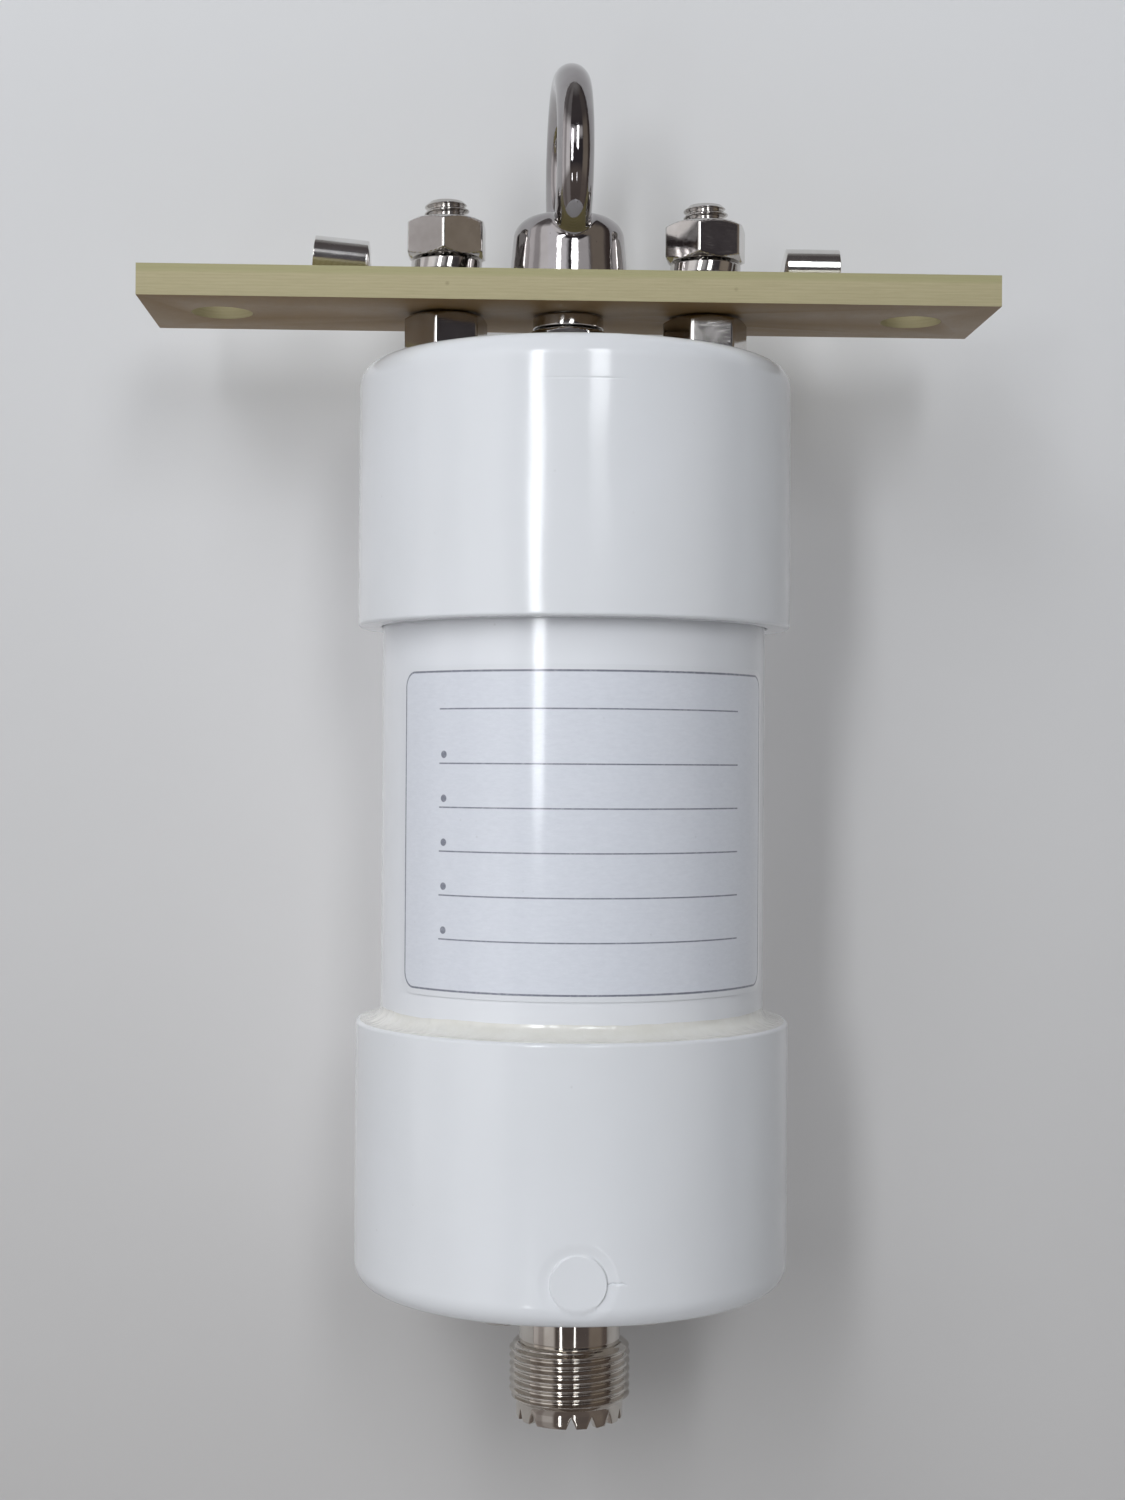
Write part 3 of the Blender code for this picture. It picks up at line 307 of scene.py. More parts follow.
def handling_group():
    """Gloss that varies from place to place: broad smears and a finer breakup, between two roughnesses."""
    group, given, put = new_group("handling", [("Place", PLACE, None), ("Scale", NUMBER, 200.0),
                                               ("Lowest", NUMBER, 0.1), ("Highest", NUMBER, 0.3)],
                                  [("Roughness", NUMBER)])
    broad = noise(group, given["Place"], given["Scale"], 3.0, 0.6, 0.4)
    fine = noise(group, given["Place"], calc(group, "MULTIPLY", given["Scale"], 7.0), 2.0, 0.6)
    both = calc(group, "ADD", calc(group, "MULTIPLY", broad, 0.7), calc(group, "MULTIPLY", fine, 0.3))
    feed(group, between(group, both, 0.3, 0.7, given["Lowest"], given["Highest"]), put["Roughness"])
    return group


def hairlines_group():
    """Fine scratches: noise stretched along one direction and cut to its peaks."""
    group, given, put = new_group("hairlines", [("Place", PLACE, None), ("Stretch", PLACE, (1.0, 1.0, 1.0)),
                                                ("Threshold", NUMBER, 0.62)], [("Mask", NUMBER)])
    lines = noise(group, stretched(group, given["Place"], given["Stretch"]), 1.0, 3.0, 0.6, 0.3)
    limit = calc(group, "ADD", given["Threshold"], 0.08)
    feed(group, between(group, lines, given["Threshold"], limit, 0.0, 1.0), put["Mask"])
    return group


def specks_group():
    """Dust and small pits: the cores of scattered cells, thinned out by a broad noise."""
    group, given, put = new_group("specks", [("Place", PLACE, None), ("Scale", NUMBER, 700.0),
                                             ("Size", NUMBER, 0.12), ("Share", NUMBER, 0.5)],
                                  [("Mask", NUMBER)])
    cells = group.nodes.new("ShaderNodeTexVoronoi")
    feed(group, given["Place"], cells.inputs["Vector"])
    feed(group, given["Scale"], cells.inputs["Scale"])
    cells.inputs["Randomness"].default_value = 1.0
    core = between(group, cells.outputs["Distance"], 0.0, given["Size"], 1.0, 0.0)
    picked = between(group, parted(group, cells.outputs["Color"])[0], given["Share"], 1.0, 0.0, 1.0)
    feed(group, calc(group, "MULTIPLY", core, picked), put["Mask"])
    return group


def waves_group():
    """Slow unevenness of a moulded, cast or squeezed surface, with a finer share on top."""
    group, given, put = new_group("waves", [("Place", PLACE, None), ("Scale", NUMBER, 60.0),
                                            ("Fine", NUMBER, 0.1)], [("Height", NUMBER)])
    slow = noise(group, given["Place"], given["Scale"], 1.0, 0.4)
    fine = noise(group, given["Place"], calc(group, "MULTIPLY", given["Scale"], 12.0), 3.0, 0.6)
    feed(group, calc(group, "ADD", slow, calc(group, "MULTIPLY", fine, given["Fine"])), put["Height"])
    return group


HANDLING = handling_group()
HAIRLINES = hairlines_group()
SPECKS = specks_group()
WAVES = waves_group()


def use_group(tree, group, **values):
    """Places a shared group in a material with its own values."""
    node = tree.nodes.new("ShaderNodeGroup")
    node.node_tree = group
    for label, value in values.items():
        feed(tree, value, node.inputs[label])
    return node.outputs[0]


def start_finish(name, roughness=0.3, metallic=0.0, coat=0.0):
    """A material with its shader's plain values set, and the place of each point on the piece."""
    material = bpy.data.materials.new(name)
    material.use_nodes = True
    tree = material.node_tree
    shader = tree.nodes["Principled BSDF"]
    shader.inputs["Roughness"].default_value = roughness
    shader.inputs["Metallic"].default_value = metallic
    shader.inputs["Coat Weight"].default_value = coat
    place = tree.nodes.new("ShaderNodeTexCoord").outputs["Object"]
    return material, tree, shader, place


def raise_from(tree, shader, height, depth):
    """Bump of a depth in metres, from a height between 0 and 1."""
    bump = tree.nodes.new("ShaderNodeBump")
    bump.inputs["Strength"].default_value = 1.0
    bump.inputs["Distance"].default_value = depth
    feed(tree, height, bump.inputs["Height"])
    tree.links.new(bump.outputs["Normal"], shader.inputs["Normal"])


# finishes

def white_plastic(name, colour, shade, low, high, wave):
    """Glossy moulded plastic: cool white, faint clouding, slow waves, dust and hair scratches."""
    material, tree, shader, place = start_finish(name)
    clouds = noise(tree, place, 45.0, 3.0, 0.55)
    base = shaded(tree, clouds, 0.35, 0.7, colour, shade)
    dust = use_group(tree, SPECKS, Place=place, Scale=420.0, Size=0.09, Share=0.82)
    base = mixed(tree, calc(tree, "MULTIPLY", dust, 0.4), base, (0.42, 0.41, 0.40))
    feed(tree, base, shader.inputs["Base Color"])
    lines = use_group(tree, HAIRLINES, Place=place, Stretch=(2600.0, 2600.0, 60.0), Threshold=0.66)
    gloss = use_group(tree, HANDLING, Place=place, Scale=90.0, Lowest=low, Highest=high)
    feed(tree, calc(tree, "ADD", gloss, calc(tree, "MULTIPLY", lines, 0.08)), shader.inputs["Roughness"])
    height = use_group(tree, WAVES, Place=place, Scale=wave, Fine=0.012)
    raise_from(tree, shader, calc(tree, "ADD", height, calc(tree, "MULTIPLY", dust, 0.02)), 0.0006)
    return material


def bright_metal(name, colour, shade, low, high, wave, depth, stretch, lined, pits):
    """Plated or polished metal: a colour that drifts, smeared gloss, tool lines and small pits."""
    material, tree, shader, place = start_finish(name, metallic=1.0)
    drift = noise(tree, place, 160.0, 3.0, 0.6)
    base = shaded(tree, drift, 0.35, 0.68, colour, shade)
    spots = use_group(tree, SPECKS, Place=place, Scale=1500.0, Size=0.16, Share=pits)
    dark = [0.35 * part for part in shade]
    base = mixed(tree, calc(tree, "MULTIPLY", spots, 0.7), base, dark)
    feed(tree, base, shader.inputs["Base Color"])
    lines = use_group(tree, HAIRLINES, Place=place, Stretch=stretch, Threshold=0.58)
    gloss = use_group(tree, HANDLING, Place=place, Scale=260.0, Lowest=low, Highest=high)
    scratches = calc(tree, "MULTIPLY", lines, 0.12 * lined)
    marks = calc(tree, "ADD", scratches, calc(tree, "MULTIPLY", spots, 0.2))
    feed(tree, calc(tree, "ADD", gloss, marks), shader.inputs["Roughness"])
    height = use_group(tree, WAVES, Place=place, Scale=wave, Fine=0.05)
    scratches = calc(tree, "MULTIPLY", lines, -0.05 * lined)
    marks = calc(tree, "ADD", scratches, calc(tree, "MULTIPLY", spots, -0.1))
    raise_from(tree, shader, calc(tree, "ADD", height, marks), depth)
    return material


def cement_finish():
    """Dried solvent cement: clear-coated, milky white with greyer thin places."""
    material, tree, shader, place = start_finish("clear_cement", 0.14, 0.0, 0.6)
    shader.inputs["Coat Roughness"].default_value = 0.04
    clouds = noise(tree, place, 260.0, 4.0, 0.6)
    base = shaded(tree, clouds, 0.3, 0.7, (0.84, 0.83, 0.79), (0.78, 0.765, 0.71))
    feed(tree, base, shader.inputs["Base Color"])
    gloss = use_group(tree, HANDLING, Place=place, Scale=300.0, Lowest=0.06, Highest=0.2)
    feed(tree, gloss, shader.inputs["Roughness"])
    raise_from(tree, shader, use_group(tree, WAVES, Place=place, Scale=900.0, Fine=0.08), 0.00012)
    return material


def frame_group():
    """The distance from the edge of a rectangle with round corners, in millimetres, from a place on it."""
    group, given, put = new_group("rounded_frame", [("Across", NUMBER, 0.0), ("Up", NUMBER, 0.0),
                                                    ("Half Width", NUMBER, 27.0),
                                                    ("Half Height", NUMBER, 18.0),
                                                    ("Corner", NUMBER, 2.0)], [("Distance", NUMBER)])
    beyond = []
    for side, half in (("Across", "Half Width"), ("Up", "Half Height")):
        flat = calc(group, "SUBTRACT", given[half], given["Corner"])
        beyond.append(calc(group, "SUBTRACT", calc(group, "ABSOLUTE", given[side]), flat))
    outside = [calc(group, "MAXIMUM", value, 0.0) for value in beyond]
    inside = calc(group, "MINIMUM", calc(group, "MAXIMUM", *beyond), 0.0)
    reach = calc(group, "ADD", length_of(group, *outside), inside)
    feed(group, calc(group, "SUBTRACT", reach, given["Corner"]), put["Distance"])
    return group


def label_finish():
    """Printed paper under a thin varnish: a frame line with round corners, a heading rule and five ruled
    rows with a dot before each, all placed in millimetres on the label's own map."""
    material, tree, shader, place = start_finish("label_paper", 0.36, 0.0, 0.75)
    shader.inputs["Coat Roughness"].default_value = 0.11
    flat = parted(tree, tree.nodes.new("ShaderNodeTexCoord").outputs["UV"])
    across = calc(tree, "MULTIPLY", calc(tree, "SUBTRACT", flat[0], 0.5), LABEL_WIDTH)
    up = calc(tree, "MULTIPLY", calc(tree, "SUBTRACT", flat[1], 0.5), LABEL_HEIGHT)
    edge = use_group(tree, frame_group(), Across=across, Up=up, **{
        "Half Width": 0.5 * LABEL_WIDTH - 0.8, "Half Height": 0.5 * LABEL_HEIGHT - 0.8, "Corner": 1.9})
    wobble = calc(tree, "MULTIPLY", calc(tree, "SUBTRACT", noise(tree, place, 900.0, 2.0), 0.5), 0.05)
    thick = calc(tree, "ADD", calc(tree, "ABSOLUTE", edge), wobble)
    ink = between(tree, thick, 0.09, 0.15, 1.0, 0.0)
    inside = between(tree, calc(tree, "ABSOLUTE", across), 21.0, 21.1, 1.0, 0.0)
    for level, left in LABEL_ROWS:
        rule = between(tree, calc(tree, "ABSOLUTE", calc(tree, "SUBTRACT", up, level)), 0.06, 0.11, 1.0, 0.0)
        if left is not None:
            side = calc(tree, "SUBTRACT", across, left)
            rise = calc(tree, "SUBTRACT", calc(tree, "SUBTRACT", up, level), 1.1)
            dot = between(tree, length_of(tree, side, rise), 0.42, 0.5, 1.0, 0.0)
            ink = calc(tree, "MAXIMUM", ink, dot)
        ink = calc(tree, "MAXIMUM", ink, calc(tree, "MULTIPLY", rule, inside))
    worn = between(tree, noise(tree, place, 1600.0, 3.0, 0.7), 0.3, 0.5, 0.72, 1.0)
    ink = calc(tree, "MULTIPLY", ink, worn)
    fibre = noise(tree, stretched(tree, place, (900.0, 900.0, 2600.0)), 1.0, 4.0, 0.7)
    paper = shaded(tree, fibre, 0.3, 0.7, (0.77, 0.79, 0.85), (0.72, 0.74, 0.80))
    margin = between(tree, edge, 0.0, 0.1, 0.0, 1.0)
    paper = mixed(tree, margin, paper, (0.79, 0.80, 0.83))
    grime = use_group(tree, SPECKS, Place=place, Scale=520.0, Size=0.1, Share=0.75)
    paper = mixed(tree, calc(tree, "MULTIPLY", grime, 0.35), paper, (0.35, 0.34, 0.33))
    feed(tree, mixed(tree, ink, paper, (0.20, 0.21, 0.26)), shader.inputs["Base Color"])
    gloss = use_group(tree, HANDLING, Place=place, Scale=160.0, Lowest=0.34, Highest=0.5)
    feed(tree, gloss, shader.inputs["Roughness"])
    raise_from(tree, shader, fibre, 0.00002)
    return material


def laminate_finish():
    """Glass-cloth laminate: a greenish khaki resin with the cloth's crossing threads faint under the faces,
    thin lying layers along the sawn sides, and a glossy underside painted a darker brown as painted shade."""
    material, tree, shader, place = start_finish("glass_epoxy", 0.3)
    shader.inputs["Specular IOR Level"].default_value = 0.13
    parts = parted(tree, place)
    facing = parted(tree, tree.nodes.new("ShaderNodeNewGeometry").outputs["Normal"])
    sawn = between(tree, calc(tree, "ABSOLUTE", facing[2]), 0.35, 0.75, 1.0, 0.0)
    # Faces that point down; the darker brown they take below is painted shade
    below = between(tree, facing[2], -0.8, -0.4, 1.0, 0.0)
    drift = noise(tree, stretched(tree, place, (60.0, 60.0, 3000.0)), 1.0, 3.0, 0.6)
    depth = calc(tree, "ADD", parts[2], calc(tree, "MULTIPLY", drift, 0.00012))
    layer = calc(tree, "SINE", calc(tree, "MULTIPLY", depth, TURN / 0.00042))
    grain = noise(tree, stretched(tree, place, (240.0, 240.0, 7000.0)), 1.0, 4.0, 0.7)
    layers = calc(tree, "ADD", calc(tree, "MULTIPLY", layer, 0.07), grain)
    sides = shaded(tree, layers, 0.2, 0.8, (0.41, 0.36, 0.215), (0.50, 0.445, 0.275))
    upper = between(tree, parts[2], -0.0172, -0.0167, 0.0, 0.7)
    sides = mixed(tree, upper, sides, (0.38, 0.36, 0.19))
    threads = []
    for axis in (0, 1):
        wave = calc(tree, "SINE", calc(tree, "MULTIPLY", parts[axis], 3900.0))
        threads.append(calc(tree, "ABSOLUTE", wave))
    weave = calc(tree, "MULTIPLY", *threads)
    faces = shaded(tree, weave, 0.1, 0.8, (0.30, 0.26, 0.12), (0.38, 0.335, 0.17))
    # painted shade: the downward faces are given a darker brown colour
    faces = mixed(tree, below, faces, (0.215, 0.135, 0.055))
    stain = use_group(tree, SPECKS, Place=place, Scale=380.0, Size=0.14, Share=0.7)
    base = mixed(tree, sawn, faces, sides)
    feed(tree, mixed(tree, calc(tree, "MULTIPLY", stain, 0.5), base, (0.14, 0.11, 0.06)),
         shader.inputs["Base Color"])
    gloss = use_group(tree, HANDLING, Place=place, Scale=150.0, Lowest=0.16, Highest=0.26)
    rough = calc(tree, "ADD", gloss, calc(tree, "MULTIPLY", calc(tree, "ADD", sawn, below), 0.2))
    feed(tree, rough, shader.inputs["Roughness"])
    lift = calc(tree, "ADD", calc(tree, "MULTIPLY", calc(tree, "MULTIPLY", grain, sawn), 0.8),
                calc(tree, "MULTIPLY", weave, 0.06))
    raise_from(tree, shader, lift, 0.00007)
    return material


def plain_finish(name, colour, shade, roughness, scale, depth):
    """A hidden piece's finish: two shades of one colour, uneven gloss and a fine grain."""
    material, tree, shader, place = start_finish(name, roughness)
    grain = noise(tree, place, scale, 4.0, 0.65)
    feed(tree, shaded(tree, grain, 0.3, 0.7, colour, shade), shader.inputs["Base Color"])
    gloss = use_group(tree, HANDLING, Place=place, Scale=300.0, Lowest=0.8 * roughness,
                      Highest=1.25 * roughness)
    feed(tree, gloss, shader.inputs["Roughness"])
    raise_from(tree, shader, grain, depth)
    return material


LABEL_WIDTH = 57.2
LABEL_HEIGHT = 40.8
LABEL_CORNER = 2.2
LABEL_LEVEL = -87.1
LABEL_TURN = math.radians(4.5)
LABEL_BEND = 25.2
LABEL_ROWS = ((15.0, None), (8.3, -20.3), (2.9, -20.3), (-2.5, -20.3), (-7.9, -20.3), (-13.3, -20.3))

CAP_WHITE = white_plastic("cap_white", (0.81, 0.82, 0.845), (0.785, 0.795, 0.815), 0.09, 0.16, 45.0)
TUBE_WHITE = white_plastic("tube_white", (0.84, 0.85, 0.88), (0.81, 0.82, 0.85), 0.10, 0.18, 40.0)
CEMENT = cement_finish()
LABEL_PAPER = label_finish()
LAMINATE = laminate_finish()
POLISHED_STEEL = bright_metal("polished_steel", (0.43, 0.41, 0.41), (0.36, 0.34, 0.34), 0.03, 0.07,
                              210.0, 0.00009, (500.0, 500.0, 500.0), 0.3, 0.8)
PLATED_STEEL = bright_metal("plated_steel", (0.62, 0.60, 0.58), (0.50, 0.475, 0.45), 0.06, 0.13,
                            220.0, 0.00003, (500.0, 500.0, 4200.0), 0.35, 0.8)
TINNED_COPPER = bright_metal("tinned_copper", (0.78, 0.77, 0.75), (0.66, 0.64, 0.61), 0.10, 0.17,
                             260.0, 0.00003, (400.0, 3600.0, 3600.0), 0.4, 0.8)
NICKEL = bright_metal("nickel_plate", (0.66, 0.63, 0.59), (0.56, 0.52, 0.47), 0.05, 0.11,
                      240.0, 0.00001, (300.0, 300.0, 5000.0), 0.25, 0.84)
INSULATOR = plain_finish("white_insulator", (0.82, 0.81, 0.77), (0.76, 0.75, 0.70), 0.42, 300.0, 0.00004)
FERRITE = plain_finish("ferrite", (0.045, 0.045, 0.05), (0.075, 0.07, 0.07), 0.6, 1500.0, 0.00006)
RED_ENAMEL = plain_finish("red_enamel", (0.42, 0.075, 0.03), (0.30, 0.05, 0.025), 0.22, 400.0, 0.00002)
GREEN_ENAMEL = plain_finish("green_enamel", (0.07, 0.26, 0.09), (0.05, 0.19, 0.07), 0.22, 400.0, 0.00002)


# eye nut

RING_MIDDLE = 10.625
RING_WIRE = 2.375
RING_AXIS = np.array([math.cos(math.radians(2.1)), math.sin(math.radians(2.1)), 0.0])
RING_ACROSS = np.array([-RING_AXIS[1], RING_AXIS[0], 0.0])
EYE_SEAT = -15.8
EYE_HEIGHT = 8.7
EYE_SHOULDER = 2.6
EYE_BASE = 7.85
EYE_TAPER = 0.8
EYE_FILLET = 0.7


def from_ring(points):
    """Distance from the ring's surface: distance from its middle circle, less the wire's radius."""
    sideways = points @ RING_AXIS
    outwards = np.hypot(points @ RING_ACROSS, points[..., 2]) - RING_MIDDLE
    return np.hypot(outwards, sideways) - RING_WIRE


def from_base(points):
    """Distance from the base: a slightly tapered drum with a round shoulder."""
    rise = points[..., 2] - EYE_SEAT
    radius = np.hypot(points[..., 0], points[..., 1])
    over = radius - (EYE_BASE - EYE_TAPER * rise / EYE_HEIGHT - EYE_SHOULDER)
    above = rise - (EYE_HEIGHT - EYE_SHOULDER)
    return (np.hypot(np.maximum(over, 0.0), np.maximum(above, 0.0))
            + np.minimum(np.maximum(over, above), 0.0) - EYE_SHOULDER)


def from_eye(points):
    """Distance from ring and base joined by a fillet: the smaller distance, less h squared times a quarter
    of the fillet, h being how far the two distances are within it."""
    ring, base = from_ring(points), from_base(points)
    near = np.maximum(EYE_FILLET - np.abs(ring - base), 0.0) / EYE_FILLET
    return np.minimum(ring, base) - 0.25 * EYE_FILLET * near ** 2


def onto_eye(points, other):
    """Moves points along the joined distance's slope until it is nought, but leaves those that lie well
    inside the other form."""
    share = ease(1.0 + other(points) / 0.5)[..., None]
    step = 0.01
    for _ in range(8):
        value = from_eye(points)[..., None]
        slope = np.stack([from_eye(points + step * axis) - from_eye(points - step * axis)
                          for axis in np.eye(3)], axis=-1) / (2.0 * step)
        points = points - share * value * slope / np.maximum((slope ** 2).sum(-1, keepdims=True), 0.2)
    return points


def make_eye_nut():
    """The ring is a circle of the wire's section carried round the ring's middle circle, the base a turned
    drum, and both are drawn onto the surface that joins them with a fillet."""
    along = full_turn(360)[:, None]
    section = full_turn(80)[None, :]
    reach = RING_MIDDLE + RING_WIRE * np.cos(section)
    way = np.cos(along)[..., None] * RING_ACROSS + np.sin(along)[..., None] * np.array([0.0, 0.0, 1.0])
    ring = reach[..., None] * way + RING_WIRE * np.sin(section)[..., None] * RING_AXIS
    ring = onto_eye(ring, from_base)
    wall = EYE_HEIGHT - EYE_SHOULDER
    turn = np.radians(np.linspace(0.0, 90.0, 26))
    side = np.linspace(0.35, wall, 26)
    top = np.linspace(1.0, 0.0, 16)[1:]
    upper = EYE_BASE - EYE_TAPER * wall / EYE_HEIGHT - EYE_SHOULDER
    shoulder = [upper + EYE_SHOULDER * np.cos(turn), EYE_HEIGHT - EYE_SHOULDER * (1 - np.sin(turn))]
    foot = EYE_BASE + np.array([-0.45, -0.3, -0.17, -0.05])
    line = np.concatenate([
        [[0.0, 0.0], [3.0, 0.0], [foot[0], 0.0], [foot[1], 0.0], [foot[2], 0.03], [foot[3], 0.14]],
        np.stack([EYE_BASE - EYE_TAPER * side / EYE_HEIGHT, side], axis=1),
        np.stack(shoulder, axis=1)[1:],
        np.stack([upper * top, np.full_like(top, EYE_HEIGHT)], axis=1)])
    angle = full_turn(320)
    base = round_axis(line[:, :1], line[:, 1:] + EYE_SEAT, angle[None, :], 0.0)
    above_seat = base[..., 2:] > EYE_SEAT + 0.5
    base = np.where(above_seat, onto_eye(base, from_ring), base)
    make_piece("eye_nut_cast", [(ring, True), (base, False)], POLISHED_STEEL, "polished_steel",
               ["eye_nut"], 60.0)


# nuts, studs and washers

HEX_SHARPNESS = 110.0
CHAMFER_RISE = math.tan(math.radians(30.0))
FACE_SHARE = 0.95


def hexagon(angle, corner):
    """Radius of a hexagon: half its flats over the largest of six cosines, its corners eased."""
    cosines = np.cos(angle[..., None] - corner - math.pi / 6.0 - np.arange(6) * math.pi / 3.0)
    largest = np.log(np.exp(HEX_SHARPNESS * (cosines - 1.0)).sum(axis=-1)) / HEX_SHARPNESS + 1.0
    return 0.5 * NUT_FLATS / largest


def nut_grid(x, base, height, corner):
    """A hexagon cut by a cone at each end: the side's radius is the smaller of the hexagon's and the cone's.
    Both faces run in to a bore with a short countersink."""
    angle = full_turn(216)[None, :]
    face = 0.5 * FACE_SHARE * NUT_FLATS
    end = np.linspace(0.0, 1.0, 15) ** 1.2 * 0.17 * NUT_FLATS
    flank = np.linspace(end[-1], height - end[-1], 5)[1:-1]
    rise = np.concatenate([end, flank, (height - end)[::-1]])[:, None]
    cone = face + np.minimum(rise, height - rise) / CHAMFER_RISE
    side = soft_least(hexagon(angle, corner), cone, 30.0 / NUT_FLATS * 10.0)
    side[0] = side[-1] = face
    sink = BOLT_HOLE + 0.35
    end_face = [(BOLT_HOLE, 0.35), (sink, 0.0), (0.5 * (sink + face), 0.0), (face - 0.06, 0.0)]
    rows = [(radius, base + level) for radius, level in end_face] + [(side, base + rise)]
    rows += [(radius, base + (height - level)) for radius, level in end_face[::-1]]
    return lathe(rows, angle, x)


THREAD_CREST = 0.03


def thread_depth(level, angle, pitch):
    """How deep a right-hand thread is cut, from 0 on its crest to 1 at its root: a triangle wave of height
    less the share of a turn, eased at both ends."""
    phase = np.mod(level / pitch - angle / TURN, 1.0)
    return ease((np.abs(2.0 * phase - 1.0) - THREAD_CREST) / (1.0 - 2.0 * THREAD_CREST))


STUD_RADIUS = 2.95
STUD_PITCH = 1.0
HEAD_HEIGHT = 4.0


def stud_grid(x, head_top, tip, corner):
    """A hexagon-headed bolt, head down: head, threaded shank, and a coned tip with a flat end."""
    angle = full_turn(96)[None, :]
    rise = np.linspace(0.0, HEAD_HEIGHT, 16)[:, None]
    cone = 0.5 * FACE_SHARE * NUT_FLATS + rise / CHAMFER_RISE
    head = soft_least(hexagon(angle, corner), cone, 30.0)
    head_level = head_top - HEAD_HEIGHT + rise
    level = np.arange(head_top + 0.05, tip, 0.045)[:, None]
    shank = STUD_RADIUS - 0.58 * thread_depth(level, angle, STUD_PITCH)
    shank = soft_least(shank, STUD_RADIUS - 0.75 + (tip - level) * 1.1, 14.0)
    rows = [(0.0, head_level[:1]), (head, head_level), (STUD_RADIUS, head_level[-1:]), (shank, level),
            (0.85 * shank[-1:], tip), (0.0, tip)]
    return lathe(rows, angle, x)


def spring_grid(x, base, split):
    """A square section carried round from one side of the split to the other, both ends leaning, and closed
    by a fan to the section's middle."""
    section = rounded([(3.2, 0.0, 0.12), (4.65, 0.0, 0.18), (4.65, 1.6, 0.18), (3.2, 1.6, 0.12)], 3)
    middle = section.mean(axis=0)
    share = np.linspace(0.0, 1.0, 90)[:, None]
    radius, level = section[None, :, 0], section[None, :, 1]
    lean = math.tan(math.radians(20.0)) * (level - 0.8) / 4.0
    gap = 0.45 / 4.0
    angle = split + lean + gap + share * (TURN - 2.0 * gap)
    body = round_axis(radius + 0.0 * angle, base + level + 0.0 * angle, angle, x)
    ends = [round_axis(np.full_like(radius, middle[0]), np.full_like(radius, base + middle[1]),
                       split + gap * sign + 0.0 * radius, x) for sign in (1.0, -1.0)]
    return np.concatenate([ends[0], body, ends[1]])


NUT_BASES = {"upper": -12.7, "lower": -25.2}
NUT_TURNS = {"upper": {"left": -4.0, "right": -14.0}, "lower": {"left": -14.0, "right": -24.5}}
SPLIT_TURNS = {"left": 30.0, "right": 150.0}


def make_fixings():
    """The clamped stack on each terminal, and the nut and spring washer under the bar's middle."""
    fix = {"finish": PLATED_STEEL, "slot": "plated_steel"}
    for side, x in TERMINALS.items():
        for tier, base in NUT_BASES.items():
            nut = nut_grid(x, base, 5.0, math.radians(NUT_TURNS[tier][side]))
            make_piece("%s_nut_plated_%s" % (tier, side), [(nut, True)], nodes=["%s_nut_%s" % (tier, side)],
                       **fix)
        stud = stud_grid(x, -31.2, -5.1, math.radians(10.0))
        make_piece("stud_" + side, [(stud, False)], nodes=["terminal_bolt_" + side], sharp=50.0, **fix)
        spring = spring_grid(x, -14.6, math.radians(SPLIT_TURNS[side]))
        make_piece("spring_ring_" + side, [(spring, False)], nodes=["spring_washer_" + side], **fix)
        washer = [(3.2, -26.6, 0.1), (6.0, -26.6, 0.25), (6.0, -25.4, 0.35), (3.2, -25.4, 0.1)]
        make_piece("washer_" + side, [(turned(washer, 120, x), True)], nodes=["flat_washer_" + side], **fix)
    nut = nut_grid(0.0, -26.6, 4.6, math.radians(28.0))
    make_piece("centre_nut_plated", [(nut, True)], nodes=["centre_nut"], **fix)
    spring = spring_grid(0.0, -21.8, math.pi)
    make_piece("centre_spring_ring", [(spring, False)], nodes=["centre_spring_washer"], **fix)


# wire lugs

def plate_grid(angle, edge, hole, base, thickness, fillet, x):
    """A flat plate between a round hole and an outline given as a radius for each direction, its outer
    edges eased by a quarter of a circle."""
    turn = np.radians(np.linspace(90.0, -90.0, 11))
    inset = fillet * (1.0 - np.cos(turn))
    lift = np.where(turn > 0, thickness - fillet, fillet) + fillet * np.sin(turn)
    share = np.concatenate([[0.0, 0.4, 0.8], np.ones(11), [0.8, 0.4, 0.0]])
    inset = np.concatenate([[fillet] * 3, inset, [fillet] * 3])
    level = np.concatenate([[thickness] * 3, lift, [0.0] * 3])
    radius = hole + (edge[None, :] - inset[:, None] - hole) * share[:, None]
    return round_axis(radius, base + level[:, None], angle[None, :], x)


FLARE_START = 9.75
FLARE = 0.95
TONGUE_HALF_WIDTH = 3.42
TONGUE_HALF_HEIGHT = 0.46
TONGUE_MIDDLE = 0.5
BARREL_RADIUS = 2.6


